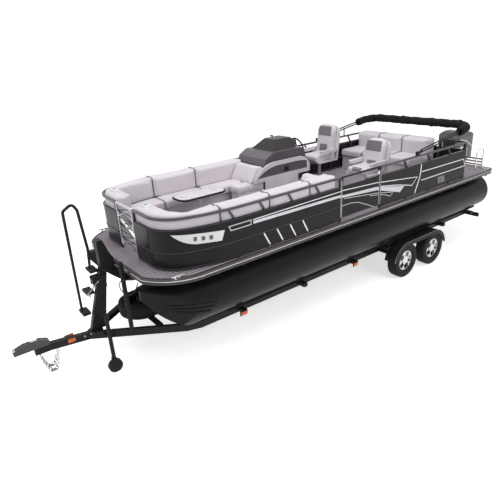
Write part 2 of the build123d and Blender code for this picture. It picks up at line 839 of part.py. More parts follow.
# Cocktail table on a post between the front lounges
table_x = -300
table_y = -2000
table_long = 820
table_wide = 400
table_rise = 520
table_thick = 36
table_post = 30
with BuildPart() as table:
    with BuildSketch(Plane.XY.offset(deck_top + table_rise - table_thick)):
        with Locations((table_x, table_y)):
            RectangleRounded(table_wide, table_long, table_wide / 3)
    extrude(amount=table_thick)
    rod((table_x, table_y, post_low), (table_x, table_y, deck_top + table_rise - table_thick),
        table_post)
    rod((table_x, table_y, post_low), (table_x, table_y, deck_top + foot_thick),
        3 * table_post)
table.part.label = "table"
export_step(table.part, "parts/table.step")

# Bimini top: folded bows in a boot, swung aft on two rail pivots and resting on struts
bimini_y = 1540
bimini_rise = 44
bimini_half = fence_half - panel_thick - fence_tube / 2
bow_radius = 13
bow_gap = 44
boot_y = 2800
boot_end_y = 3230
boot_rise = 1000
bimini_corner = 300
boot_radius = 80
boot_skin = boot_radius - bow_gap / 2 - bow_radius - seat_gap
pivot_pin = 9
pivot_wall = 8
pivot_wide = 34
strut_y = 2360
strut_wall = 2
pivot_high = rail_top + bimini_rise
bimini_slope = atan2(deck_top + boot_rise - pivot_high, boot_end_y - bimini_y)
bow_lie = Plane(
    origin=(0, bimini_y, pivot_high), x_dir=(1, 0, 0),
    z_dir=(0, -sin(bimini_slope), cos(bimini_slope)),
)
bow_length = hypot(deck_top + boot_rise - pivot_high, boot_end_y - bimini_y)
boot_start = (boot_y - bimini_y) / cos(bimini_slope)

with BuildPart() as bimini_mounts:
    for side in (-1, 1):
        for edge in (-1, 1):
            x_wall = side * bimini_half + edge * (pivot_wide + pivot_wall) / 2
            slab(x_wall - pivot_wall / 2, x_wall + pivot_wall / 2, bimini_y - pivot_wide,
                 bimini_y + pivot_wide, rail_top + seat_gap, pivot_high + 2 * pivot_pin)
        slab(side * bimini_half - pivot_wide / 2, side * bimini_half + pivot_wide / 2,
             bimini_y - pivot_wide, bimini_y + pivot_wide, rail_top + seat_gap,
             rail_top + pivot_wall)
        rod((side * bimini_half - pivot_wide / 2 - pivot_wall, bimini_y, pivot_high),
            (side * bimini_half + pivot_wide / 2 + pivot_wall, bimini_y, pivot_high), pivot_pin)
bimini_mounts.part.label = "bimini_mounts"
export_step(bimini_mounts.part, "parts/bimini_mounts.step")

with BuildPart() as bimini_frame:
    for level in (-bow_gap / 2, bow_gap / 2):
        lie = bow_lie.offset(level)
        start = lie.from_local_coords((bimini_half, 2 * bow_gap, 0))
        corners = [
            (bimini_half, 2 * bow_gap, 0), (bimini_half, bow_length, 0),
            (-bimini_half, bow_length, 0), (-bimini_half, 2 * bow_gap, 0),
        ]
        with BuildLine() as bow:
            FilletPolyline(*[lie.from_local_coords(c) for c in corners], radius=bimini_corner)
        with BuildSketch(Plane(origin=start, z_dir=lie.y_dir)):
            Circle(bow_radius)
        sweep(path=bow.wires()[0])
    for side in (-1, 1):
        x = side * bimini_half
        eye = [bow_lie.from_local_coords((x, d, h)) for d, h in (
            (-2 * pivot_pin, -2 * pivot_pin), (3 * bow_gap, -bow_gap / 2),
            (3 * bow_gap, bow_gap / 2), (-2 * pivot_pin, 2 * pivot_pin))]
        side_prism([(v.Y, v.Z) for v in eye], x - bow_radius / 2, x + bow_radius / 2)
        rod((x - bow_radius, bimini_y, pivot_high), (x + bow_radius, bimini_y, pivot_high),
            pivot_pin + seat_gap, mode=Mode.SUBTRACT)
        top = pivot_high + (strut_y - bimini_y) * tan(bimini_slope)
        rod((x, strut_y, rail_top + seat_gap), (x, strut_y, top), bow_radius - strut_wall)
bimini_frame.part.label = "bimini_frame"
export_step(bimini_frame.part, "parts/bimini_frame.step")

with BuildPart() as boot:
    corners = [
        (bimini_half, boot_start, 0), (bimini_half, bow_length, 0),
        (-bimini_half, bow_length, 0), (-bimini_half, boot_start, 0),
    ]
    with BuildLine() as route:
        FilletPolyline(*[bow_lie.from_local_coords(c) for c in corners], radius=bimini_corner)
    start = bow_lie.from_local_coords(corners[0])
    with BuildSketch(Plane(origin=start, z_dir=bow_lie.y_dir)):
        Circle(boot_radius)
        Circle(boot_radius - boot_skin, mode=Mode.SUBTRACT)
    sweep(path=route.wires()[0])
boot.part.label = "bimini_boot"
export_step(boot.part, "parts/bimini_boot.step")

# Engine pod: the transom that closes the motor well behind the centre tube
transom_inset = 25
transom_y = deck_stern - transom_inset
transom_thick = 52
transom_half = 330
transom_drop = 55
transom_high = 650
transom_top = deck_top - transom_drop
transom_low = transom_top - transom_high
with BuildPart() as pod:
    slab(-transom_half, transom_half, transom_y - transom_thick, transom_y, transom_low,
         transom_top)
    for edge in (-1, 1):
        x_plate = edge * (transom_half - transom_thick / 2)
        slab(x_plate - riser_thick, x_plate + riser_thick, cross_aft + cross_wide + seat_gap,
             transom_y, cross_low, rub_low - seat_gap)
pod.part.label = "engine_pod"
export_step(pod.part, "parts/engine_pod.step")

# Outboard engine: clamp on the transom, tilting swivel, steered leg and cowl, propeller
tilt_reach = 105
tilt_drop = 60
tilt_pin = 16
clamp_inner = 100
clamp_thick = 26
clamp_high = 440
tilt_y = transom_y + tilt_reach
tilt_z = transom_top - tilt_drop
clamp_low = transom_top - clamp_high
clamp_y = transom_y + seat_gap
with BuildPart() as clamp:
    for edge in (-1, 1):
        x_low, x_high = sorted((edge * clamp_inner, edge * (clamp_inner + clamp_thick)))
        outline = (
            (clamp_y, clamp_low),
            (clamp_y + 2 * clamp_thick, clamp_low),
            (tilt_y + 2 * tilt_pin, tilt_z - 2 * tilt_pin),
            (tilt_y + 2 * tilt_pin, tilt_z + 2 * tilt_pin),
            (tilt_y, tilt_z + 2 * tilt_pin),
            (clamp_y, transom_top),
        )
        side_prism(outline, x_low, x_high)
    rod((-clamp_inner - clamp_thick, tilt_y, tilt_z), (clamp_inner + clamp_thick, tilt_y, tilt_z),
        tilt_pin)
clamp.part.label = "engine_clamp"
export_step(clamp.part, "parts/engine_clamp.step")

steer_reach = 90
king_pin = 18
swivel_barrel = 40
swivel_high = 450
swivel_drop = 30
swivel_half = clamp_inner - running_gap
steer_y = tilt_y + steer_reach
swivel_top = transom_top - swivel_drop
swivel_low = swivel_top - swivel_high
with BuildPart() as swivel:
    outline = (
        (tilt_y - 2 * tilt_pin, tilt_z - 2 * tilt_pin),
        (tilt_y, swivel_low + 2 * swivel_barrel),
        (tilt_y + 2 * tilt_pin, swivel_low),
        (tilt_y + 2 * tilt_pin, swivel_top),
        (tilt_y - 2 * tilt_pin, swivel_top),
    )
    side_prism(outline, -swivel_half, swivel_half)
    slab(-swivel_barrel, swivel_barrel, tilt_y + tilt_pin, steer_y, swivel_low, swivel_top)
    rod((0, steer_y, swivel_low), (0, steer_y, swivel_top), swivel_barrel)
    rod((0, steer_y, swivel_low), (0, steer_y, swivel_top), king_pin + seat_gap,
        mode=Mode.SUBTRACT)
    rod((-swivel_half, tilt_y, tilt_z), (swivel_half, tilt_y, tilt_z), tilt_pin + seat_gap,
        mode=Mode.SUBTRACT)
swivel.part.label = "engine_swivel"
export_step(swivel.part, "parts/engine_swivel.step")

# Leg: a tapered midsection under the cowl, two splash plates, torpedo gear case and skeg
yoke_thick = 18
yoke_half = 60
leg_half = 62
leg_long = 355
leg_deep = 890
plate_deep = 670
plate_thick = 14
plate_half = 150
plate_round_share = 0.6
casing_deep = 300
casing_half = 150
gear_radius = 60
gear_long = 450
skeg_deep = 220
skeg_thick = 12
leg_fore = steer_y + swivel_barrel + running_gap
leg_back = leg_fore + leg_long
leg_top = transom_top
plate_z = leg_top - plate_deep
gear_z = leg_top - leg_deep
gear_back = leg_fore + gear_long
gear_fore = gear_back - gear_long + gear_radius
engine_half = 260
engine_fore = leg_fore + seat_gap
engine_long = 800
engine_back = engine_fore + engine_long
with BuildPart() as leg:
    shin = (
        (leg_fore, leg_top - casing_deep + yoke_thick),
        (leg_fore + yoke_half / 2, plate_z),
        (leg_fore + yoke_half, gear_z),
        (leg_back - 2 * yoke_half, gear_z),
        (leg_back, plate_z),
        (leg_back, leg_top - casing_deep + yoke_thick),
    )
    side_prism(shin, -leg_half / 2, leg_half / 2)
    # The casing narrows downwards below the cowl
    casing = (
        (leg_fore, leg_top),
        (leg_fore, leg_top - casing_deep),
        (leg_back + leg_half, leg_top - casing_deep),
        (engine_back - 2 * leg_half, leg_top - casing_deep / 2),
        (engine_back - leg_half, leg_top),
    )
    side_prism(casing, -casing_half, casing_half)
    for edge in (-1, 1):
        with BuildSketch(Plane.XZ.offset(-engine_back)) as bevel:
            with BuildLine():
                Polyline(
                    (edge * casing_half, leg_top - casing_deep / 2),
                    (edge * leg_half, leg_top - casing_deep),
                    (edge * casing_half, leg_top - casing_deep), close=True,
                )
            make_face()
        extrude(bevel.sketch, amount=engine_long, mode=Mode.SUBTRACT)
    rod((0, steer_y, swivel_low - yoke_thick), (0, steer_y, swivel_top + yoke_thick), king_pin)
    for low in (swivel_low - seat_gap - yoke_thick, swivel_top + seat_gap):
        slab(-yoke_half, yoke_half, steer_y - yoke_half / 2, leg_fore + yoke_half, low,
             low + yoke_thick)
    with BuildSketch(Plane.XY.offset(plate_z)) as plate:
        with Locations(((0, (leg_fore + leg_back) / 2 + yoke_half))):
            RectangleRounded(2 * plate_half, leg_long, plate_half * plate_round_share)
    extrude(plate.sketch, amount=plate_thick)
    rod((0, gear_fore, gear_z), (0, gear_back, gear_z), gear_radius)
    with Locations((0, gear_fore, gear_z)):
        Sphere(gear_radius)
    skeg = (
        (gear_fore + 2 * gear_radius, gear_z),
        (gear_fore + 4 * gear_radius, gear_z - skeg_deep),
        (gear_back - gear_radius, gear_z - skeg_deep),
        (gear_back - gear_radius, gear_z),
    )
    side_prism(skeg, -skeg_thick / 2, skeg_thick / 2)
leg.part.label = "engine_leg"
export_step(leg.part, "parts/engine_leg.step")

# Cowl: round in plan, its top arched from the tiller side down to a raked back
cowl_high = 660
cowl_brow = 250
cowl_tail = 190
cowl_round = 150
cowl_bow_out = 60
cowl_low = leg_top + seat_gap
with BuildPart() as cowl:
    with BuildSketch(Plane.YZ) as outline:
        with BuildLine():
            fore = Line((engine_fore, cowl_low), (engine_fore + cowl_bow_out / 2,
                        cowl_low + cowl_high - cowl_brow))
            brow = TangentArc(fore @ 1, (engine_fore + cowl_brow + cowl_bow_out,
                              cowl_low + cowl_high), tangent=fore % 1)
            crown = ThreePointArc(
                brow @ 1,
                (engine_back - 2 * cowl_tail, cowl_low + cowl_high - cowl_bow_out / 4),
                (engine_back - cowl_tail, cowl_low + cowl_high - cowl_bow_out),
            )
            back = ThreePointArc(
                crown @ 1,
                (engine_back - cowl_bow_out / 4, cowl_low + cowl_high - cowl_brow),
                (engine_back, cowl_low + cowl_high / 3),
            )
            Polyline(back @ 1, (engine_back - cowl_bow_out, cowl_low), (engine_fore, cowl_low))
        make_face()
    extrude(outline.sketch, amount=engine_half, both=True)
    with BuildSketch(Plane.XY.offset(cowl_low)) as foot:
        with Locations((0, (engine_fore + engine_back) / 2)):
            RectangleRounded(2 * engine_half, engine_long, cowl_round)
    extrude(foot.sketch, amount=cowl_high, mode=Mode.INTERSECT)
    with BuildSketch(Plane.XZ.offset(-engine_back)) as front:
        with Locations((0, cowl_low + cowl_high / 2)):
            RectangleRounded(2 * engine_half, cowl_high, cowl_round)
        with Locations((0, cowl_low + cowl_round)):
            Rectangle(2 * engine_half, 2 * cowl_round)
    extrude(front.sketch, amount=engine_long, mode=Mode.INTERSECT)
    # A parting groove runs round the cowl above its lower pan
    with BuildSketch(Plane.XY.offset(cowl_low + cowl_high / 4)) as groove:
        Rectangle(4 * engine_half, 4 * engine_back)
        with Locations((0, (engine_fore + engine_back) / 2)):
            RectangleRounded(2 * (engine_half - yoke_thick / 3), engine_long - yoke_thick,
                             cowl_round, mode=Mode.SUBTRACT)
    extrude(groove.sketch, amount=running_gap, mode=Mode.SUBTRACT)
cowl.part.label = "engine_cowl"
export_step(cowl.part, "parts/engine_cowl.step")

prop_radius = 190
prop_hub = 50
prop_shaft = 18
prop_long = 120
prop_blades = 4
petal_share = 0.33
blade_thick = 10
blade_pitch = 35
prop_plane = Plane(origin=(0, gear_back + running_gap, gear_z), x_dir=(1, 0, 0),
                   z_dir=(0, 1, 0))
with BuildPart() as propeller:
    with BuildSketch(prop_plane):
        Circle(prop_hub)
    extrude(amount=prop_long)
    # The shaft stands out of the gear case towards the hub
    with BuildSketch(prop_plane):
        Circle(prop_shaft)
    extrude(amount=-(running_gap - seat_gap))
    for index in range(prop_blades):
        turn = 2 * pi * index / prop_blades
        pitch = radians(blade_pitch)
        blade = Plane(
            origin=prop_plane.offset(prop_long / 2).origin,
            x_dir=(cos(turn), 0, sin(turn)),
            z_dir=(-sin(turn) * sin(pitch), cos(pitch), cos(turn) * sin(pitch)),
        )
        with BuildSketch(blade.offset(-blade_thick / 2)) as petal:
            with Locations(((prop_hub + prop_radius) / 2 - prop_hub / 4, 0)):
                Ellipse((prop_radius - prop_hub) / 2 + prop_hub / 4, prop_radius * petal_share)
        extrude(petal.sketch, amount=blade_thick)
propeller.part.label = "propeller"
export_step(propeller.part, "parts/propeller.step")

# Trailer frame: channel rails that meet at the tongue, cross members and rear beam
frame_wide = 50
frame_wall = 6
frame_aft = 4050
frame_bend = -2850
frame_bend_x = 800
frame_bend_y = -3050
tongue_half = 40
tongue_joint = -4180
tongue_front = -4900
tongue_high = 100
tongue_climb = 60
coupler_back = -4700
cross_member_wide = 76
cross_member_half = 1120
bunk_wide = 90
bunk_thick = 38
bunk_offset = 120
bunk_lead = 220
bunk_aft = 4000
# Places of the cross members, as shares of the rails' straight length
member_shares = (0.08, 0.254, 0.428, 0.555, 0.688, 0.812, 0.964)


def frame_plan(inset):
    with BuildSketch() as plan:
        with BuildLine():
            Polyline(
                (0, frame_aft), (frame_half, frame_aft), (frame_half, frame_bend),
                (frame_bend_x, frame_bend_y), (tongue_half, tongue_joint), (0, tongue_joint),
            )
            mirror(about=Plane.YZ)
        make_face()
        if inset:
            offset(amount=-inset, kind=Kind.INTERSECTION)
    return plan.sketch


with BuildPart() as trailer_frame:
    with BuildSketch(Plane.XY.offset(frame_low)) as rails:
        add(frame_plan(0))
        add(frame_plan(frame_wide), mode=Mode.SUBTRACT)
    extrude(rails.sketch, amount=frame_high)
    with BuildSketch(Plane.XY.offset(frame_low + frame_wall)) as groove:
        add(frame_plan(frame_wall))
        add(frame_plan(frame_wide + overrun), mode=Mode.SUBTRACT)
    extrude(groove.sketch, amount=frame_high - 2 * frame_wall, mode=Mode.SUBTRACT)
    # The tongue climbs towards the coupler
    tongue = (
        (tongue_joint + 2 * tongue_high, frame_low),
        (tongue_joint, frame_low),
        (coupler_back, frame_low + tongue_climb),
        (tongue_front, frame_low + tongue_climb),
        (tongue_front, frame_low + tongue_climb + tongue_high),
        (coupler_back, frame_low + tongue_climb + tongue_high),
        (tongue_joint, frame_low + tongue_high),
        (tongue_joint + 2 * tongue_high, frame_low + tongue_high),
    )
    side_prism(tongue, -tongue_half, tongue_half)
    for share in member_shares:
        station = frame_bend + share * (frame_aft - frame_bend)
        slab(-cross_member_half, cross_member_half, station, station + cross_member_wide,
             frame_top, member_top)
trailer_frame.part.label = "trailer_frame"
export_step(trailer_frame.part, "parts/trailer_frame.step")

# Bunks: carpeted boards in pairs that cradle each tube
bunk_turn = asin(bunk_offset / tube_radius)
bunk_reach = tube_radius + seat_gap + bunk_thick / 2
with BuildPart() as bunks:
    for x_centre, setback in ((-tube_spacing, 0), (0, centre_setback), (tube_spacing, 0)):
        bunk_fore = nose_keel + setback + bunk_lead
        for edge in (-1, 1):
            x = x_centre + edge * bunk_reach * sin(bunk_turn)
            z = tube_height - bunk_reach * cos(bunk_turn)
            across = Plane(origin=(x, bunk_fore, z), x_dir=(cos(bunk_turn), 0,
                           edge * sin(bunk_turn)), z_dir=(0, 1, 0))
            with BuildSketch(across) as board:
                Rectangle(bunk_wide, bunk_thick)
            extrude(board.sketch, amount=bunk_aft - bunk_fore)
bunks.part.label = "bunks"
export_step(bunks.part, "parts/bunks.step")

# Axles: torsion beams below the rails, trailing arms and stub shafts
beam_high = 76
beam_lead = 130
arm_thick = 40
arm_wide = 70
stub_radius = 20
stub_long = 70
hub_inset = 82.5
hub_face = tyre_centre - hub_inset
beam_top = frame_low - seat_gap
with BuildPart() as axles:
    for index in range(2):
        y = axle_fore + index * axle_pitch
        slab(-frame_half - arm_wide / 2, frame_half + arm_wide / 2, y - beam_lead - beam_high / 2,
             y - beam_lead + beam_high / 2, beam_top - beam_high, beam_top)
        for side in (-1, 1):
            x_near = side * (frame_half + arm_wide / 2)
            x_far = side * (frame_half + arm_wide / 2 + arm_thick)
            x_low, x_high = sorted((x_near, x_far))
            outline = (
                (y - beam_lead - beam_high / 2, beam_top - beam_high),
                (y + arm_wide / 2, tyre_radius - arm_wide / 2),
                (y + arm_wide / 2, tyre_radius + arm_wide / 2),
                (y - beam_lead - beam_high / 2, beam_top),
            )
            side_prism(outline, x_low, x_high)
            rod((x_far, y, tyre_radius), (side * (hub_face + stub_long), y, tyre_radius),
                stub_radius)
axles.part.label = "axles"
export_step(axles.part, "parts/axles.step")

# Wheels: radial tyre on a deep five spoke rim
rim_radius = 186
rim_thick = 10
spoke_thick = 40
spoke_count = 5
spoke_set = 8
spoke_window_share = 0.62
bead_clear = 2
hub_radius = 60
tyre_shoulder = 34
tyre_bead = 150
for side_name, side in sides:
    for index, place in enumerate(("fore", "aft")):
        y = axle_fore + index * axle_pitch
        centre = Plane(origin=(side * tyre_centre, y, tyre_radius), x_dir=(0, 1, 0),
                       z_dir=(side, 0, 0))
        spin = Axis((side * tyre_centre, y, tyre_radius), (1, 0, 0))
        profile = Plane(origin=(side * tyre_centre, y, tyre_radius), x_dir=(side, 0, 0),
                        z_dir=(0, -side, 0))
        with BuildPart() as tyre:
            with BuildSketch(profile) as section:
                with BuildLine():
                    half = tyre_wide / 2
                    foot = tyre_bead / 2
                    low = rim_radius + seat_gap
                    Polyline(
                        (-foot, low), (foot, low), (half, low + tyre_shoulder),
                        (half, tyre_radius - tyre_shoulder), (half - tyre_shoulder, tyre_radius),
                        (-half + tyre_shoulder, tyre_radius),
                        (-half, tyre_radius - tyre_shoulder), (-half, low + tyre_shoulder),
                        close=True,
                    )
                make_face()
                fillet(section.vertices().group_by(Axis.Z)[-1], tyre_shoulder / 2)
            revolve(section.sketch, spin)
        tyre.part.label = f"tyre_{side_name}_{place}"
        export_step(tyre.part, f"parts/tyre_{side_name}_{place}.step")
        with BuildPart() as rim:
            with BuildSketch(profile) as barrel:
                with BuildLine():
                    bead = tyre_bead / 2 - bead_clear
                    Polyline(
                        (-bead, rim_radius), (bead, rim_radius),
                        (bead, rim_radius - rim_thick), (-bead, rim_radius - rim_thick),
                        close=True,
                    )
                make_face()
            revolve(barrel.sketch, spin)
            with BuildSketch(centre.offset(tyre_bead / 2 - spoke_thick - spoke_set)) as face:
                Circle(rim_radius - rim_thick / 2)
                with PolarLocations((rim_radius + hub_radius) / 2, spoke_count):
                    RectangleRounded(rim_radius - hub_radius - 3 * rim_thick,
                                     rim_radius * spoke_window_share, rim_thick * 2,
                                     mode=Mode.SUBTRACT)
            extrude(face.sketch, amount=spoke_thick)
            inner = hub_face - tyre_centre
            with BuildSketch(centre.offset(inner)) as hub:
                Circle(hub_radius)
            extrude(hub.sketch, amount=tyre_bead / 2 - spoke_set - inner)
            with BuildSketch(centre.offset(inner)) as bore:
                Circle(stub_radius + seat_gap)
            extrude(bore.sketch, amount=stub_long + seat_gap, mode=Mode.SUBTRACT)
        rim.part.label = f"rim_{side_name}_{place}"
        export_step(rim.part, f"parts/rim_{side_name}_{place}.step")

# Fenders: one long arch over both wheels on each side
fender_thick = 5
fender_clear = 40
fender_inboard = 20.5
fender_outboard = 14.5
arch_turn = radians(50)
skirt_deep = 70
fender_radius = tyre_radius + fender_clear
fender_inner = tyre_centre - tyre_wide / 2 - fender_inboard
fender_outer = tyre_centre + tyre_wide / 2 + fender_outboard
fender_drop = 60
with BuildPart() as fenders:
    for side in (-1, 1):
        x_low, x_high = sorted((side * fender_inner, side * fender_outer))
        skirt_low, skirt_high = sorted((side * (fender_outer - fender_thick),
                                        side * fender_outer))

        def arch(radius, x_from, x_to, mode):
            with BuildSketch(Plane.YZ.offset(x_from)) as outline:
                last = axle_fore + axle_pitch
                base = tyre_radius + fender_drop
                span = sqrt(radius**2 - fender_drop**2)
                with BuildLine():
                    fore = ThreePointArc(
                        (axle_fore - span, base),
                        (axle_fore - radius * cos(arch_turn),
                         tyre_radius + radius * sin(arch_turn)),
                        (axle_fore, tyre_radius + radius),
                    )
                    top = Line(fore @ 1, (last, tyre_radius + radius))
                    rear = ThreePointArc(
                        top @ 1,
                        (last + radius * cos(arch_turn),
                         tyre_radius + radius * sin(arch_turn)),
                        (last + span, base),
                    )
                    Line(rear @ 1, fore @ 0)
                make_face()
            extrude(outline.sketch, amount=x_to - x_from, mode=mode)

        arch(fender_radius + fender_thick, x_low, x_high, Mode.ADD)
        if side > 0:
            arch(fender_radius, x_low - overrun, skirt_low, Mode.SUBTRACT)
            arch(fender_radius - skirt_deep, skirt_low - overrun, skirt_high + overrun,
                 Mode.SUBTRACT)
        else:
            arch(fender_radius, skirt_high, x_high + overrun, Mode.SUBTRACT)
            arch(fender_radius - skirt_deep, skirt_low - overrun, skirt_high + overrun,
                 Mode.SUBTRACT)
        for station in (axle_fore - fender_radius + overrun,
                        axle_fore + axle_pitch + fender_radius - overrun):
            near, far = sorted((side * (frame_half + seat_gap), side * (fender_inner + overrun)))
            slab(near, far, station - beam_high / 2, station + beam_high / 2,
                 frame_low + fender_drop / 2, frame_low + fender_drop)
fenders.part.label = "fenders"
export_step(fenders.part, "parts/fenders.step")

# Coupler with a ball socket, safety chain lugs on the tongue
coupler_tip = -5150
coupler_half = 48
socket_radius = 29.8
socket_deep = 44
coupler_low = frame_low + tongue_climb + tongue_high + seat_gap
coupler_high = 100
ball_inset = 90
coupler_shoulder_share = 0.58
ball_y = coupler_tip + ball_inset
with BuildPart() as coupler:
    shoulder = coupler_low + coupler_high * coupler_shoulder_share
    outline = (
        (coupler_back, coupler_low),
        (coupler_back, shoulder),
        (coupler_back - coupler_high, coupler_low + coupler_high),
        (ball_y + coupler_half, coupler_low + coupler_high),
        (coupler_tip, shoulder),
        (coupler_tip, coupler_low),
    )
    side_prism(outline, -coupler_half, coupler_half)
    with BuildSketch(Plane.XY.offset(coupler_low)) as socket:
        with Locations((0, ball_y)):
            Circle(socket_radius)
    extrude(socket.sketch, amount=socket_deep, mode=Mode.SUBTRACT)
coupler.part.label = "coupler"
export_step(coupler.part, "parts/coupler.step")

# Jack: swing-up tube and bracket on the port rail, caster wheel under it
jack_x = 290
jack_y = -3985
jack_radius = 28
jack_top = 920
jack_foot = 230
jack_wheel_radius = 100
jack_wheel_wide = 56
jack_axle = 8
fork_thick = 6
jack_bracket = 110
crank_reach = 130
crank_bar = 8
with BuildPart() as jack:
    rod((jack_x, jack_y, jack_foot), (jack_x, jack_y, jack_top), jack_radius)
    fork_inner = jack_wheel_wide / 2 + running_gap
    for side in (-1, 1):
        x_low, x_high = sorted((jack_x + side * fork_inner,
                                jack_x + side * (fork_inner + fork_thick)))
        slab(x_low, x_high, jack_y - jack_radius, jack_y + jack_radius,
             jack_wheel_radius - 2 * jack_axle, jack_foot)
    slab(jack_x - fork_inner - fork_thick, jack_x + fork_inner + fork_thick,
         jack_y - jack_radius, jack_y + jack_radius, jack_foot - fork_thick, jack_foot)
    rod((jack_x - fork_inner, jack_y, jack_wheel_radius),
        (jack_x + fork_inner, jack_y, jack_wheel_radius), jack_axle)
    slab(jack_x - jack_bracket, jack_x, jack_y - 2 * jack_radius, jack_y + 2 * jack_radius, frame_top,
         frame_top + fork_thick)
    # Crank on the head of the tube
    rod((jack_x, jack_y, jack_top), (jack_x, jack_y, jack_top + 2 * crank_bar), jack_radius / 2)
    rod((jack_x, jack_y, jack_top + crank_bar),
        (jack_x + crank_reach, jack_y, jack_top + crank_bar), crank_bar)
    rod((jack_x + crank_reach, jack_y, jack_top),
        (jack_x + crank_reach, jack_y, jack_top + jack_radius * 3), crank_bar)
jack.part.label = "jack"
export_step(jack.part, "parts/jack.step")

with BuildPart() as jack_wheel:
    rod((jack_x - jack_wheel_wide / 2, jack_y, jack_wheel_radius),
        (jack_x + jack_wheel_wide / 2, jack_y, jack_wheel_radius), jack_wheel_radius)
    rod((jack_x - jack_wheel_wide, jack_y, jack_wheel_radius),
        (jack_x + jack_wheel_wide, jack_y, jack_wheel_radius), jack_axle + seat_gap,
        mode=Mode.SUBTRACT)
jack_wheel.part.label = "jack_wheel"
export_step(jack_wheel.part, "parts/jack_wheel.step")

# Winch post with its bow stop, a drum and crank on its head, and a guide post at the bow
post_half = 38
post_foot_y = -4140
post_deep = 210
post_rake = 330
post_head = 80
post_drop = 40
post_rise = 845
stop_half = 60
stop_lip = 40
stop_high = 325
stop_y = deck_bow - seat_gap
post_low_z = frame_top + seat_gap
post_high_z = post_low_z + post_rise
drum_radius = 62
drum_half = 52
guide_x = 440
guide_y = -3712
guide_radius = 30
guide_top = 85
with BuildPart() as winch_post:
    head_y = post_foot_y + post_rake
    side_prism(
        ((post_foot_y, post_low_z), (post_foot_y + post_deep, post_low_z),
         (head_y + post_drop, post_high_z), (head_y - post_drop, post_high_z + 2 * post_drop)),
        -post_half, post_half,
    )
    top = deck_top + stop_high
    outline = (
        (head_y, post_high_z - post_drop),
        (stop_y, post_high_z + post_drop),
        (stop_y, deck_top + stop_lip),
        (stop_y - stop_lip, deck_top + 3 * stop_lip),
        (head_y + stop_lip, top),
        (head_y - stop_lip, top),
        (head_y - stop_lip, post_high_z + post_drop),
    )
    side_prism(outline, -stop_half, stop_half)
    # Winch drum between its cheeks, ahead of the post
    drum_y = head_y - 2 * drum_radius
    drum_z = post_high_z - 2 * drum_radius
    rod((-drum_half, drum_y, drum_z), (drum_half, drum_y, drum_z), drum_radius)
    for side in (-1, 1):
        x_low, x_high = sorted((side * drum_half, side * (drum_half - frame_wall)))
        cheek = ((drum_y - drum_radius, drum_z - drum_radius), (head_y, drum_z - 2 * drum_radius),
                 (head_y, drum_z + drum_radius), (drum_y - drum_radius, drum_z + drum_radius))
        side_prism(cheek, x_low, x_high)
    # Round guide post that keeps the deck's bow in line, on a foot over the port rail
    rod((guide_x, guide_y, frame_top + frame_wall), (guide_x, guide_y, deck_top + guide_top),
        guide_radius)
    with Locations((guide_x, guide_y, deck_top + guide_top)):
        Sphere(guide_radius)
    slab(guide_x - 4 * guide_radius, guide_x + guide_radius, guide_y - guide_radius,
         guide_y + guide_radius, post_low_z, post_low_z + frame_wall)
winch_post.part.label = "winch_post"
export_step(winch_post.part, "parts/winch_post.step")

# Steps and a tall hoop rail beside the winch post
step_half = 100
step_thick = 30
rail_tube = 13
rail_x = -200
rail_high = 1520
rail_spread = 215
rail_bend = 50
rail_foot_y = -4150
rail_foot_z = 860
# Columns: forward or aft share of the rail's spread, share of its height
hoop_shares = ((0, 0), (0.12, 0.948), (0.74, 1), (1, 0.934), (1.16, 0.553), (1.05, 0.378))
step_shares = ((0.09, -0.02), (0.56, 0.171), (1.05, 0.369))
with BuildPart() as handrail:
    for along, up in step_shares:
        y = rail_foot_y + along * rail_spread
        z = rail_foot_z + up * rail_high
        slab(rail_x - step_thick, -post_half - seat_gap, y - step_half / 2, y + step_half / 2, z,
             z + step_thick)
    route = [(rail_x, rail_foot_y + along * rail_spread, rail_foot_z + up * rail_high)
             for along, up in hoop_shares]
    with BuildLine() as hoop:
        FilletPolyline(*route, radius=rail_bend)
    with BuildSketch(Plane(origin=route[0], z_dir=Vector(*route[1]) - Vector(*route[0]))):
        Circle(rail_tube)
    sweep(path=hoop.wires()[0])
handrail.part.label = "handrail"
export_step(handrail.part, "parts/handrail.step")

# Spare wheel, lying flat on a carrier between the tongue rails
spare_y = -3345
carrier_high = 20
carrier_half = 570
spare_low = frame_top + carrier_high + 2 * seat_gap
lug_radius = 22
with BuildPart() as spare_wheel:
    hub = Plane(origin=(0, spare_y, spare_low + tyre_wide / 2), x_dir=(1, 0, 0), z_dir=(0, 0, 1))
    section = Plane(origin=hub.origin, x_dir=(0, 0, 1), z_dir=(0, -1, 0))
    with BuildSketch(section) as tread:
        with BuildLine():
            half = tyre_wide / 2
            foot = tyre_bead / 2
            low = rim_radius - rim_thick
            Polyline(
                (-foot, low), (foot, low), (foot, rim_radius), (half, rim_radius + tyre_shoulder),
                (half, tyre_radius - tyre_shoulder), (half - tyre_shoulder, tyre_radius),
                (-half + tyre_shoulder, tyre_radius), (-half, tyre_radius - tyre_shoulder),
                (-half, rim_radius + tyre_shoulder), (-foot, rim_radius), close=True,
            )
        make_face()
    revolve(tread.sketch, Axis(hub.origin, (0, 0, 1)))
    with BuildSketch(hub.offset(-spoke_thick / 2)) as disc:
        Circle(rim_radius - rim_thick / 2)
        with PolarLocations((rim_radius + hub_radius) / 2, spoke_count):
            Circle(hub_radius / 2, mode=Mode.SUBTRACT)
    extrude(disc.sketch, amount=spoke_thick / 2)
    # Carrier: a flat bar across the rails, a stem through the hub and its nut
    slab(-carrier_half, carrier_half, spare_y - 2 * lug_radius, spare_y + 2 * lug_radius,
         frame_top + seat_gap, frame_top + seat_gap + carrier_high)
    rod((0, spare_y, frame_top + carrier_high), (0, spare_y, spare_low + tyre_wide), lug_radius)
spare_wheel.part.label = "spare_wheel"
export_step(spare_wheel.part, "parts/spare_wheel.step")

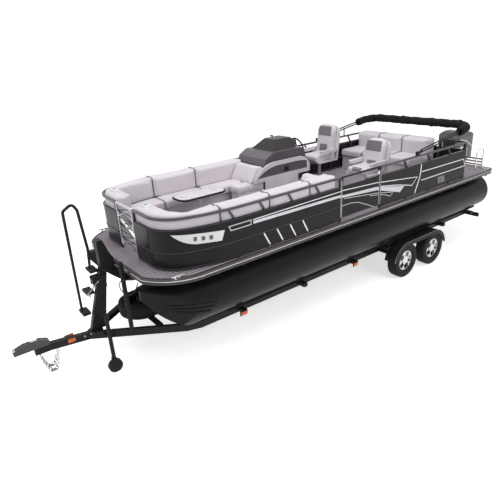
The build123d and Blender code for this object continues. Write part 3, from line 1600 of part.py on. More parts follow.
# Stern ladder: two hooped rails that stand on the platform, joined by folded treads
ladder_inset = 395
ladder_half = 190
ladder_fore = 430
ladder_deep = 260
ladder_x = half_beam - ladder_inset
ladder_y = deck_stern - ladder_fore
ladder_high = 420
ladder_tube = 13
ladder_bend = 70
tread_count = 3
tread_deep = 60
with BuildPart() as stern_ladder:
    for side in (-1, 1):
        x = ladder_x + side * ladder_half
        foot = (x, ladder_y, post_low)
        corners = (foot, (x, ladder_y, deck_top + ladder_high),
                   (x, ladder_y + ladder_deep, deck_top + ladder_high),
                   (x, ladder_y + ladder_deep, post_low))
        with BuildLine() as hoop:
            FilletPolyline(*corners, radius=ladder_bend)
        with BuildSketch(Plane(origin=foot, z_dir=(0, 0, 1))):
            Circle(ladder_tube)
        sweep(path=hoop.wires()[0])
    for index in range(tread_count):
        z = deck_top + (index + 1) * tread_deep
        slab(ladder_x - ladder_half, ladder_x + ladder_half, ladder_y + ladder_deep - ladder_tube,
             ladder_y + ladder_deep + ladder_tube, z, z + tread_deep / 2)
stern_ladder.part.label = "stern_ladder"
export_step(stern_ladder.part, "parts/stern_ladder.step")
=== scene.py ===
"""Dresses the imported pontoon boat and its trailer, and sets up a plain studio round them."""

import logging
import math
from contextlib import contextmanager
from dataclasses import dataclass, field
from enum import Enum
from typing import Callable, Iterable, Iterator, Sequence

import bpy
from mathutils import Matrix, Vector


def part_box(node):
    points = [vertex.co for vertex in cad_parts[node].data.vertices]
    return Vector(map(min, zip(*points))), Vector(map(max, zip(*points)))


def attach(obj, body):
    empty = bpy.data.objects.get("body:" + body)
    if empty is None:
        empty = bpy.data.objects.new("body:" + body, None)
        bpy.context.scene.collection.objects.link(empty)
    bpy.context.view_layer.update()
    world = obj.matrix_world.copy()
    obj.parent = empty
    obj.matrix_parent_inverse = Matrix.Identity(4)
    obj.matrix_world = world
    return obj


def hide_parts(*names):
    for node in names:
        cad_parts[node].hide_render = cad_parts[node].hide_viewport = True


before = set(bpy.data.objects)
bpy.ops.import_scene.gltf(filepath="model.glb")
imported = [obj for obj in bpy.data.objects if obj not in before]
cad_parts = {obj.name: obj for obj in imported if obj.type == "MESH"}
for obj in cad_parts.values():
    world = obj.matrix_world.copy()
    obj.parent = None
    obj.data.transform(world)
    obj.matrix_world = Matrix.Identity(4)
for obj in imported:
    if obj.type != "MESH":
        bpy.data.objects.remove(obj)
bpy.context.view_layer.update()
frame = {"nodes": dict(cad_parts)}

log = logging.getLogger("pontoon_boat")

Point = tuple[float, float, float]
Flat = tuple[float, float]
Colour = tuple[float, float, float]
Piece = bpy.types.Object
Tree = bpy.types.NodeTree
Socket = bpy.types.NodeSocket


class Side(Enum):
    """The two sides of the boat, with the sign of their X."""

    PORT = 1
    STARBOARD = -1

    @property
    def word(self) -> str:
        """The side's name as the nodes spell it."""
        return self.name.lower()


# Finishes


def larger(tree: Tree, one: Socket, other: Socket) -> Socket:
    """Gives the larger of two values.

    Args:
        tree: The node tree.
        one: The first value.
        other: The second value.

    Returns:
        The value socket.
    """
    node = tree.nodes.new("ShaderNodeMath")
    node.operation = "MAXIMUM"
    tree.links.new(one, node.inputs[0])
    tree.links.new(other, node.inputs[1])
    return node.outputs["Value"]


@dataclass(frozen=True)
class Finish:
    """A surface finish with slightly uneven colour and gloss, and a fine grain.

    The colour is linear RGB, grain is the bump's height in metres, and the scales are repeats per metre.
    """

    name: str
    colour: Colour
    roughness: float = 0.5
    metallic: float = 0.0
    coat: float = 0.0
    sheen: float = 0.0
    wander: float = 0.06
    wander_scale: float = 3.0
    grain: float = 0.0
    grain_scale: float = 300.0
    specular: float = 0.5
    slot: str = ""

    def build(self) -> bpy.types.Material:
        """Makes the material once.

        Returns:
            The material, or the one already made under this name.
        """
        # The frame's own materials carry the slots' names, so a finish never shares one.
        title = f"{self.name}_finish"
        made = bpy.data.materials.get(title)
        if made:
            return made
        material = bpy.data.materials.new(title)
        material.use_nodes = True
        tree = material.node_tree
        shader = tree.nodes["Principled BSDF"]
        shader.inputs["Metallic"].default_value = self.metallic
        shader.inputs["Coat Weight"].default_value = self.coat
        shader.inputs["Coat Roughness"].default_value = 0.08
        shader.inputs["Specular IOR Level"].default_value = self.specular
        shader.inputs["Sheen Weight"].default_value = self.sheen
        place = tree.nodes.new("ShaderNodeTexCoord").outputs["Object"]
        tree.links.new(self.tint(tree, place), shader.inputs["Base Color"])
        cloud = self.noise(tree, place, self.wander_scale * 2.3)
        tree.links.new(
            self.remap(tree, cloud, self.roughness * 0.88, min(1, self.roughness * 1.12)),
            shader.inputs["Roughness"],
        )
        if self.grain:
            bump = tree.nodes.new("ShaderNodeBump")
            bump.inputs["Distance"].default_value = self.grain
            bump.inputs["Strength"].default_value = 1.0
            tree.links.new(self.relief(tree, place), bump.inputs["Height"])
            tree.links.new(bump.outputs["Normal"], shader.inputs["Normal"])
        return material

    def tint(self, tree: Tree, place: Socket) -> Socket:
        """Gives the base colour, with a slow drift between a darker and a lighter shade.

        Args:
            tree: The material's node tree.
            place: The object coordinates.

        Returns:
            The colour socket.
        """
        ramp = tree.nodes.new("ShaderNodeValToRGB")
        for stop, share in ((0, 1 - self.wander), (1, 1 + self.wander)):
            ramp.color_ramp.elements[stop].color = (*[min(1, c * share) for c in self.colour], 1)
        ramp.color_ramp.elements[0].position = 0.3
        ramp.color_ramp.elements[1].position = 0.7
        tree.links.new(self.noise(tree, place, self.wander_scale), ramp.inputs["Fac"])
        return ramp.outputs["Color"]

    def relief(self, tree: Tree, place: Socket) -> Socket:
        """Gives the height of the grain, from 0 to 1.

        Args:
            tree: The material's node tree.
            place: The object coordinates.

        Returns:
            The height socket.
        """
        return self.noise(tree, place, self.grain_scale)

    @staticmethod
    def noise(tree: Tree, place: Socket, scale: float) -> Socket:
        """Adds a noise texture on the object coordinates.

        Args:
            tree: The material's node tree.
            place: The coordinates to read.
            scale: Repeats per metre.

        Returns:
            The noise value socket.
        """
        node = tree.nodes.new("ShaderNodeTexNoise")
        node.inputs["Scale"].default_value = scale
        node.inputs["Detail"].default_value = 2.0
        tree.links.new(place, node.inputs["Vector"])
        return node.outputs["Fac"]

    @staticmethod
    def remap(tree: Tree, value: Socket, low: float, high: float) -> Socket:
        """Maps a value from 0..1 to low..high.

        Args:
            tree: The material's node tree.
            value: The socket to map.
            low: What 0 becomes.
            high: What 1 becomes.

        Returns:
            The mapped socket.
        """
        node = tree.nodes.new("ShaderNodeMapRange")
        node.inputs["To Min"].default_value = low
        node.inputs["To Max"].default_value = high
        tree.links.new(value, node.inputs["Value"])
        return node.outputs["Result"]

    @staticmethod
    def overlay(tree: Tree, ground: Socket, value: Socket, reach: Flat, colour: Colour) -> Socket:
        """Lays one colour over another wherever a value is high.

        Args:
            tree: The material's node tree.
            ground: The colour below.
            value: The value that decides.
            reach: The values where the upper colour begins and where it is whole.
            colour: The upper colour.

        Returns:
            The mixed colour socket.
        """
        step = tree.nodes.new("ShaderNodeMapRange")
        step.inputs["From Min"].default_value, step.inputs["From Max"].default_value = reach
        tree.links.new(value, step.inputs["Value"])
        mix = tree.nodes.new("ShaderNodeMix")
        mix.data_type = "RGBA"
        colours = [s for s in mix.inputs if s.type == "RGBA"]
        tree.links.new(step.outputs["Result"], mix.inputs["Factor"])
        tree.links.new(ground, colours[0])
        colours[1].default_value = (*colour, 1)
        return [s for s in mix.outputs if s.type == "RGBA"][0]

    @staticmethod
    def bands(tree: Tree, place: Socket, axis: str, pitch: float) -> Socket:
        """Adds straight sine bands across one axis.

        Args:
            tree: The material's node tree.
            place: The coordinates to read.
            axis: The axis that the bands repeat along, X, Y or Z.
            pitch: Metres from one band to the next.

        Returns:
            The band value socket, from 0 to 1.
        """
        node = tree.nodes.new("ShaderNodeTexWave")
        node.bands_direction = axis
        node.inputs["Scale"].default_value = math.pi / 10 / pitch
        node.inputs["Distortion"].default_value = 0.0
        tree.links.new(place, node.inputs["Vector"])
        return node.outputs["Fac"]


@dataclass(frozen=True)
class PaddedVinyl(Finish):
    """Upholstery vinyl with a pebbled leather grain."""

    def relief(self, tree: Tree, place: Socket) -> Socket:
        """Gives the pebbles' height from a cell pattern.

        Args:
            tree: The material's node tree.
            place: The object coordinates.

        Returns:
            The height socket.
        """
        node = tree.nodes.new("ShaderNodeTexVoronoi")
        node.inputs["Scale"].default_value = self.grain_scale
        tree.links.new(place, node.inputs["Vector"])
        return node.outputs["Distance"]


@dataclass(frozen=True)
class WovenCloth(Finish):
    """Canvas or carpet with threads both ways."""

    pitch: float = 0.002

    def relief(self, tree: Tree, place: Socket) -> Socket:
        """Gives the threads' height as the larger of three sets of bands.

        Args:
            tree: The material's node tree.
            place: The object coordinates.

        Returns:
            The height socket.
        """
        height = self.bands(tree, place, "X", self.pitch)
        for axis in ("Y", "Z"):
            height = larger(tree, height, self.bands(tree, place, axis, self.pitch))
        return height


@dataclass(frozen=True)
class StripedDeck(Finish):
    """Woven deck vinyl with thin darker lines that run fore and aft."""

    stripe: Colour = (0.085, 0.07, 0.085)
    pitch: float = 0.058
    line_share: float = 0.70
    line_edge: float = 0.1
    threads: int = 12

    def tint(self, tree: Tree, place: Socket) -> Socket:
        """Gives the ground colour with the lines over it.

        Args:
            tree: The material's node tree.
            place: The object coordinates.

        Returns:
            The colour socket.
        """
        ground = Finish.tint(self, tree, place)
        band = self.bands(tree, place, "X", self.pitch)
        reach = (self.line_share, self.line_share + self.line_edge)
        return self.overlay(tree, ground, band, reach, self.stripe)

    def relief(self, tree: Tree, place: Socket) -> Socket:
        """Gives the weave's height.

        Args:
            tree: The material's node tree.
            place: The object coordinates.

        Returns:
            The height socket.
        """
        return self.bands(tree, place, "Y", self.pitch / self.threads)


@dataclass(frozen=True)
class Glass(Finish):
    """A lamp's lens or a smoked screen that some light passes."""

    passing: float = 0.6

    def build(self) -> bpy.types.Material:
        """Makes the finish, then lets light through it.

        Returns:
            The material.
        """
        material = Finish.build(self)
        shader = material.node_tree.nodes["Principled BSDF"]
        shader.inputs["Transmission Weight"].default_value = self.passing
        shader.inputs["IOR"].default_value = 1.46
        return material


@dataclass(frozen=True)
class Speckled(Finish):
    """A dark moulded panel with fine pale specks."""

    speck: Colour = (0.30, 0.27, 0.30)
    speck_scale: float = 120.0
    speck_range: Flat = (0.60, 0.66)

    def tint(self, tree: Tree, place: Socket) -> Socket:
        """Gives the ground colour with specks where a fine noise is high.

        Args:
            tree: The material's node tree.
            place: The object coordinates.

        Returns:
            The colour socket.
        """
        ground = Finish.tint(self, tree, place)
        specks = self.noise(tree, place, self.speck_scale)
        return self.overlay(tree, ground, specks, self.speck_range, self.speck)


class Finishes:
    """Every finish on the boat and the trailer, by what it is put on."""

    tube = Finish("tube_black", (0.007, 0.0065, 0.0073), 0.36, grain=0.0006, grain_scale=70.0,
                  wander=0.2, specular=0.14, slot="hull_black")
    frame = Finish("frame_black", (0.013, 0.012, 0.0135), 0.42, grain=0.0004, grain_scale=160.0,
                   wander=0.15, specular=0.15, slot="frame_black")
    anodised = Finish("rail_anodised", (0.075, 0.066, 0.072), 0.34, 0.75, grain=0.0001, grain_scale=600.0,
                      slot="anodised")
    bare = Finish("bare_aluminium", (0.55, 0.55, 0.57), 0.38, 1.0, grain=0.0003, grain_scale=240.0,
                  wander=0.1, slot="bare_aluminium")
    panel = Finish("panel_black", (0.0105, 0.0097, 0.0118), 0.24, grain=0.0005, grain_scale=14.0,
                   wander=0.12, specular=0.13, slot="panel_black")
    stripe = Finish("stripe_silver", (0.52, 0.50, 0.53), 0.3, 0.5, 0.2, slot="anodised")
    stripe_white = Finish("stripe_white", (0.80, 0.78, 0.82), 0.35, coat=0.2, slot="moulded_white")
    deck = StripedDeck("deck_vinyl", (0.40, 0.345, 0.39), 0.62, grain=0.0012, grain_scale=300.0,
                       slot="deck_vinyl")
    rub = Finish("rub_grey", (0.045, 0.038, 0.042), 0.4, 0.1, grain=0.0004, grain_scale=160.0,
                 slot="rub_grey")
    bead = Finish("bead_bright", (0.66, 0.64, 0.66), 0.2, 1.0, slot="stainless")
    pad = PaddedVinyl("vinyl_pale", (0.62, 0.575, 0.625), 0.5, sheen=0.08, grain=0.0009, grain_scale=420.0,
                      wander=0.025, slot="vinyl_light")
    pad_grey = PaddedVinyl("vinyl_grey", (0.17, 0.15, 0.165), 0.5, sheen=0.08, grain=0.0009,
                           grain_scale=420.0, slot="vinyl_dark")
    piping = Finish("piping_dark", (0.035, 0.03, 0.035), 0.5, slot="vinyl_dark")
    base = Finish("moulding_white", (0.60, 0.56, 0.60), 0.4, coat=0.15, grain=0.0004, grain_scale=220.0,
                  slot="moulded_white")
    moulding = Finish("moulding_grey", (0.075, 0.065, 0.078), 0.36, coat=0.2, grain=0.0006, grain_scale=260.0,
                      slot="moulded_grey")
    moulding_dark = Finish("moulding_dark", (0.022, 0.019, 0.022), 0.4, grain=0.0005,
                           grain_scale=260.0, specular=0.25, slot="moulded_grey")
    screen = Glass("screen_smoked", (0.06, 0.055, 0.06), 0.08, coat=0.5, passing=0.5, slot="moulded_grey")
    canvas = WovenCloth("canvas_black", (0.011, 0.0105, 0.0115), 0.85, grain=0.0008, wander=0.25,
                        specular=0.15, slot="canvas")
    cowl = Finish("cowl_grey", (0.05, 0.044, 0.052), 0.24, 0.4, 0.5, grain=0.0002, grain_scale=90.0,
                  slot="cowl_grey")
    steel = Finish("steel_polished", (0.68, 0.67, 0.68), 0.16, 1.0, grain=0.0001, grain_scale=60.0,
                   slot="stainless")
    forged = Finish("forged_dark", (0.055, 0.052, 0.056), 0.34, 0.7, grain=0.0004, grain_scale=200.0,
                    slot="frame_black")
    zinc = Finish("zinc_plate", (0.30, 0.295, 0.30), 0.36, 1.0, grain=0.0004, grain_scale=200.0, wander=0.15,
                  slot="galvanised")
    carpet = WovenCloth("bunk_carpet", (0.012, 0.012, 0.0125), 0.95, grain=0.002, wander=0.3, specular=0.1,
                        pitch=0.004, slot="bunk_carpet")
    tyre = Finish("tyre_black", (0.016, 0.0155, 0.016), 0.75, grain=0.0006, grain_scale=220.0, wander=0.2,
                  specular=0.2, slot="tyre")
    rim = Finish("rim_machined", (0.58, 0.57, 0.59), 0.22, 1.0, grain=0.0002, grain_scale=120.0, slot="rim")
    rubber = Finish("rubber_black", (0.013, 0.013, 0.014), 0.6, grain=0.0005, grain_scale=260.0, specular=0.2,
                    slot="rubber")
    amber = Glass("lens_amber", (0.8, 0.16, 0.02), 0.2, passing=0.2)
    red = Glass("lens_red", (0.55, 0.02, 0.02), 0.2, passing=0.2)
    teal = Glass("lens_teal", (0.03, 0.42, 0.38), 0.2, passing=0.2)
    lamp_white = Finish("lamp_white", (0.70, 0.68, 0.70), 0.22, coat=0.4, slot="moulded_white")
    lens_dark = Finish("lens_dark", (0.05, 0.045, 0.05), 0.12, 0.3, 0.6)
    dial = Finish("dial_pale", (0.55, 0.56, 0.58), 0.3)
    speckle = Speckled("trim_speckled", (0.075, 0.066, 0.074), 0.45, grain=0.0004, grain_scale=300.0,
                       slot="moulded_grey")


NODE_FINISHES: dict[str, Finish] = {
    "pontoon": Finishes.tube,
    "deck_floor": Finishes.deck,
    "deck_frame": Finishes.frame,
    "rub_rail": Finishes.rub,
    "fence": Finishes.anodised,
    "bow_gate": Finishes.bare,
    "panels": Finishes.panel,
    "side_gate": Finishes.panel,
    "stern_gate": Finishes.panel,
    "lounge_bases": Finishes.base,
    "lounge": Finishes.pad,
    "aft_lounge": Finishes.pad,
    "console": Finishes.moulding,
    "dash": Finishes.moulding,
    "windscreen": Finishes.moulding_dark,
    "steering_wheel": Finishes.rubber,
    "chair_pedestals": Finishes.bare,
    "table": Finishes.base,
    "bimini_boot": Finishes.canvas,
    "bimini": Finishes.frame,
    "engine": Finishes.cowl,
    "engine_pod": Finishes.bare,
    "engine_clamp": Finishes.moulding_dark,
    "propeller": Finishes.steel,
    "bunks": Finishes.carpet,
    "tyre": Finishes.tyre,
    "rim": Finishes.rim,
    "jack_wheel": Finishes.rubber,
    "coupler": Finishes.forged,
    "docking_lamps": Finishes.lamp_white,
    "chaise_pads": Finishes.pad,
    "spare_wheel": Finishes.tyre,
    "stern_ladder": Finishes.steel,
}


def finish_for(node: str) -> Finish:
    """Finds the finish of a CAD node by the longest name that fits.

    Args:
        node: The node's name.

    Returns:
        The finish, which is the frame's black paint when nothing fits.
    """
    if node.endswith("_pads"):
        return Finishes.pad
    if node.endswith("_shell"):
        return Finishes.base
    fits = [word for word in NODE_FINISHES if node.startswith(word)]
    return NODE_FINISHES[max(fits, key=len)] if fits else Finishes.frame


def paint(piece: Piece, finish: Finish) -> None:
    """Gives a piece or node one finish.

    Args:
        piece: The object to paint.
        finish: What it is painted with.
    """
    piece.data.materials.clear()
    piece.data.materials.append(finish.build())


# Workbench: the modelling steps that every sub-assembly shares


def pick(piece: Piece) -> None:
    """Selects one object and nothing else, and makes it active.

    Args:
        piece: The object.
    """
    if bpy.context.object and bpy.context.object.mode != "OBJECT":
        bpy.ops.object.mode_set(mode="OBJECT")
    bpy.ops.object.select_all(action="DESELECT")
    piece.select_set(True)
    bpy.context.view_layer.objects.active = piece


def settle(piece: Piece, name: str) -> Piece:
    """Names a piece and puts its place, turn and scale into its mesh.

    Args:
        piece: The object.
        name: Its name, which its mesh takes too.

    Returns:
        The same object.
    """
    pick(piece)
    bpy.ops.object.transform_apply(location=True, rotation=True, scale=True)
    piece.name = name
    piece.data.name = name
    return piece


@contextmanager
def editing(piece: Piece, everything: bool = True) -> Iterator[None]:
    """Opens a piece in edit mode for the length of a with block.

    Args:
        piece: The object.
        everything: Whether all its mesh is selected first.

    Yields:
        Nothing.
    """
    pick(piece)
    bpy.ops.object.mode_set(mode="EDIT")
    bpy.ops.mesh.select_mode(type="VERT")
    bpy.ops.mesh.select_all(action="SELECT" if everything else "DESELECT")
    yield
    bpy.ops.object.mode_set(mode="OBJECT")


def modify(piece: Piece, kind: str, **settings: object) -> None:
    """Adds a modifier and applies it.

    Args:
        piece: The object.
        kind: The modifier's type.
        settings: Its properties.
    """
    pick(piece)
    bpy.ops.object.modifier_add(type=kind)
    added = piece.modifiers[-1]
    for word, value in settings.items():
        setattr(added, word, value)
    bpy.ops.object.modifier_apply(modifier=added.name)


def soften(piece: Piece, edge: float, segments: int = 2) -> None:
    """Rounds the sharp edges of a piece.

    Args:
        piece: The object.
        edge: The radius in metres. Zero leaves it sharp.
        segments: Faces across each rounded edge.
    """
    if edge:
        limit = math.radians(35)
        modify(piece, "BEVEL", width=edge, segments=segments, limit_method="ANGLE", angle_limit=limit)


def smooth(piece: Piece, angle: float = 35.0) -> None:
    """Shades a piece smooth wherever it turns by less than an angle in degrees."""
    pick(piece)
    bpy.ops.object.shade_smooth_by_angle(angle=math.radians(angle))


def block(name: str, low: Point, high: Point, edge: float = 0.0, segments: int = 2) -> Piece:
    """Makes a box between two corners and rounds its edges.

    Args:
        name: The piece's name.
        low: Its lowest corner.
        high: Its highest corner.
        edge: The radius of its edges.
        segments: Faces across each rounded edge.

    Returns:
        The box.
    """
    middle = [(a + b) / 2 for a, b in zip(low, high)]
    size = [b - a for a, b in zip(low, high)]
    bpy.ops.object.select_all(action="DESELECT")
    bpy.ops.mesh.primitive_cube_add(size=1, location=middle, scale=size)
    piece = settle(bpy.context.object, name)
    soften(piece, edge, segments)
    return piece


def rod(name: str, start: Point, end: Point, radius: float, edge: float = 0.0, sides: int = 20) -> Piece:
    """Makes a round bar from one point to another.

    Args:
        name: The piece's name.
        start: One end.
        end: The other end.
        radius: Its radius.
        edge: The radius of its end rims.
        sides: Faces round it.

    Returns:
        The bar.
    """
    line = Vector(end) - Vector(start)
    bpy.ops.object.select_all(action="DESELECT")
    bpy.ops.mesh.primitive_cylinder_add(
        vertices=sides, radius=radius, depth=line.length, location=(Vector(start) + Vector(end)) / 2,
        rotation=line.to_track_quat("Z", "Y").to_euler(),
    )
    piece = settle(bpy.context.object, name)
    soften(piece, edge)
    return piece


def wire(name: str, route: Sequence[Point]) -> Piece:
    """Extrudes one vertex along a route.

    Args:
        name: The piece's name.
        route: The points.

    Returns:
        A mesh of edges.
    """
    points = [Vector(p) for p in route]
    bpy.ops.object.select_all(action="DESELECT")
    bpy.ops.mesh.primitive_plane_add(size=0.001, location=points[0])
    piece = settle(bpy.context.object, name)
    with editing(piece):
        bpy.ops.mesh.merge(type="CENTER")
        for here, there in zip(points, points[1:]):
            bpy.ops.mesh.extrude_vertices_move(TRANSFORM_OT_translate={"value": there - here})
    return piece


def plate(name: str, outline: Sequence[Point], push: Point, edge: float = 0.0) -> Piece:
    """Fills a flat outline and extrudes it.

    Args:
        name: The piece's name.
        outline: The corners in order.
        push: The extrusion, as a vector.
        edge: The radius of its edges.

    Returns:
        The closed plate.
    """
    piece = wire(name, outline)
    with editing(piece):
        bpy.ops.mesh.edge_face_add()
        bpy.ops.mesh.extrude_region_move(TRANSFORM_OT_translate={"value": push})
        bpy.ops.mesh.select_all(action="SELECT")
        bpy.ops.mesh.normals_make_consistent(inside=False)
    soften(piece, edge)
    return piece


def tube(name: str, route: Sequence[Point], radius: float, closed: bool = False, sides: int = 8) -> Piece:
    """Makes a round tube along a route.

    Args:
        name: The piece's name.
        route: The points.
        radius: Its radius.
        closed: Whether the last point joins the first.
        sides: Faces round it, in fours.

    Returns:
        The tube, closed at its ends.
    """
    piece = wire(name, route)
    if closed:
        with editing(piece):
            bpy.ops.mesh.edge_face_add()
            bpy.ops.mesh.delete(type="ONLY_FACE")
    return round_off(piece, radius, sides)


def round_off(piece: Piece, radius: float, sides: int = 8) -> Piece:
    """Turns a mesh of edges into a round tube.

    Args:
        piece: The edges.
        radius: The tube's radius.
        sides: Faces round it, in fours.

    Returns:
        The same object as a mesh tube.
    """
    pick(piece)
    bpy.ops.object.convert(target="CURVE")
    piece = bpy.context.object
    piece.data.bevel_depth = radius
    piece.data.bevel_resolution = max(0, sides // 4 - 1)
    piece.data.use_fill_caps = True
    bpy.ops.object.convert(target="MESH")
    piece = bpy.context.object
    with editing(piece):
        bpy.ops.mesh.remove_doubles(threshold=0.00002)
        bpy.ops.mesh.normals_make_consistent(inside=False)
    return piece


def lathe(name: str, profile: Sequence[Point], centre: Point, axis: Point, steps: int = 32) -> Piece:
    """Spins an outline round an axis.

    Args:
        name: The piece's name.
        profile: The outline's points, in one plane with the axis.
        centre: A point on the axis.
        axis: The axis.
        steps: Faces round it.

    Returns:
        The turned piece.
    """
    piece = wire(name, profile)
    with editing(piece):
        bpy.ops.mesh.spin(steps=steps, angle=math.tau, center=centre, axis=axis)
        bpy.ops.mesh.select_all(action="SELECT")
        bpy.ops.mesh.remove_doubles(threshold=0.00005)
        bpy.ops.mesh.normals_make_consistent(inside=False)
    return piece


def join(name: str, pieces: Sequence[Piece]) -> Piece:
    """Joins pieces into one object.

    Args:
        name: The new name.
        pieces: The objects, all on one body and of one finish.

    Returns:
        The joined object.
    """
    pick(pieces[0])
    for piece in pieces[1:]:
        piece.select_set(True)
    if len(pieces) > 1:
        bpy.ops.object.join()
    return settle(bpy.context.object, name)


def points_of(piece: Piece) -> list[tuple[Vector, Vector]]:
    """Reads the place and normal of every point of a piece."""
    return [(v.co.copy(), v.normal.copy()) for v in piece.data.vertices]


def place_points(piece: Piece, places: Iterable[Vector]) -> None:
    """Moves every point of a piece at once.

    Args:
        piece: The object.
        places: The new places, in the order of its points.
    """
    piece.data.vertices.foreach_set("co", [c for place in places for c in place])
    piece.data.update()


def ring_route(centre: Vector, radius: float, steps: int) -> list[Vector]:
    """Gives points round a circle whose axis is X.

    Args:
        centre: Its centre.
        radius: Its radius.
        steps: How many points.

    Returns:
        The points.
    """
    turns = (math.tau * step / steps for step in range(steps))
    return [centre + Vector((0, radius * math.cos(turn), radius * math.sin(turn))) for turn in turns]


def keep_faces(piece: Piece, wanted: Callable[[bpy.types.MeshPolygon], bool]) -> None:
    """Deletes every face of a piece that fails a test.

    Args:
        piece: The object.
        wanted: The test of one face.
    """
    with editing(piece, everything=False):
        bpy.ops.mesh.select_mode(type="FACE")
    for polygon in piece.data.polygons:
        polygon.select = not wanted(polygon)
    pick(piece)
    bpy.ops.object.mode_set(mode="EDIT")
    bpy.ops.mesh.delete(type="FACE")
    bpy.ops.object.mode_set(mode="OBJECT")


def copy_piece(piece: Piece, name: str) -> Piece:
    """Copies a new piece with a mesh of its own.

    Args:
        piece: The object.
        name: The copy's name.

    Returns:
        The copy.
    """
    twin = piece.copy()
    twin.data = piece.data.copy()
    twin.name = twin.data.name = name
    bpy.context.collection.objects.link(twin)
    return twin


def copy_node(node: str, name: str) -> Piece:
    """Copies a CAD node's mesh into a free piece and merges its loose triangles.

    Args:
        node: The node's name.
        name: The piece's name.

    Returns:
        The new piece.
    """
    piece = bpy.data.objects.new(name, frame["nodes"][node].data.copy())
    bpy.context.collection.objects.link(piece)
    piece.data.name = name
    with editing(piece):
        bpy.ops.mesh.remove_doubles(threshold=0.0001)
    return piece


def cut(piece: Piece, place: Point, away: Point) -> None:
    """Cuts off the part of a piece that lies beyond a plane, and closes the cut.

    Args:
        piece: The object.
        place: A point in the plane.
        away: The plane's normal, towards what goes.
    """
    with editing(piece):
        bpy.ops.mesh.bisect(plane_co=place, plane_no=away, use_fill=True, clear_outer=True)


def section(node: str, name: str, place: Point, normal: Point) -> list[Piece]:
    """Cuts a CAD node's copy with a plane and keeps only the line of the cut.

    Args:
        node: The node's name.
        name: The pieces' name.
        place: A point in the plane.
        normal: The plane's normal.

    Returns:
        One mesh of edges for each loop, the widest first.
    """
    piece = copy_node(node, name)
    with editing(piece):
        bpy.ops.mesh.bisect(plane_co=place, plane_no=normal)
        bpy.ops.mesh.select_all(action="INVERT")
        bpy.ops.mesh.delete(type="VERT")
        bpy.ops.mesh.select_all(action="SELECT")
        bpy.ops.mesh.delete(type="ONLY_FACE")
    return sorted(loose_parts(piece), key=lambda loop: -max(loop.dimensions))


def loose_parts(piece: Piece) -> list[Piece]:
    """Splits a piece into the parts that don't touch.

    Args:
        piece: The object.

    Returns:
        The parts.
    """
    with editing(piece):
        bpy.ops.mesh.separate(type="LOOSE")
    return [part for part in bpy.context.selected_objects if part.type == "MESH"]


def scrap(pieces: Iterable[Piece]) -> None:
    """Deletes pieces that were only needed to make others."""
    for piece in pieces:
        bpy.data.objects.remove(piece)


def keep(piece: Piece, finish: Finish, body: str = "root", angle: float = 35.0) -> Piece:
    """Finishes a piece: its shading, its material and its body.

    Args:
        piece: The object.
        finish: What it is finished with.
        body: The CAD body that it rides on.
        angle: The angle in degrees under which its faces shade smooth.

    Returns:
        The same object.
    """
    smooth(piece, angle)
    paint(piece, finish)
    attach(piece, body)
    log.info("%s: %d faces on %s", piece.name, len(piece.data.polygons), body)
    return piece


# Studio


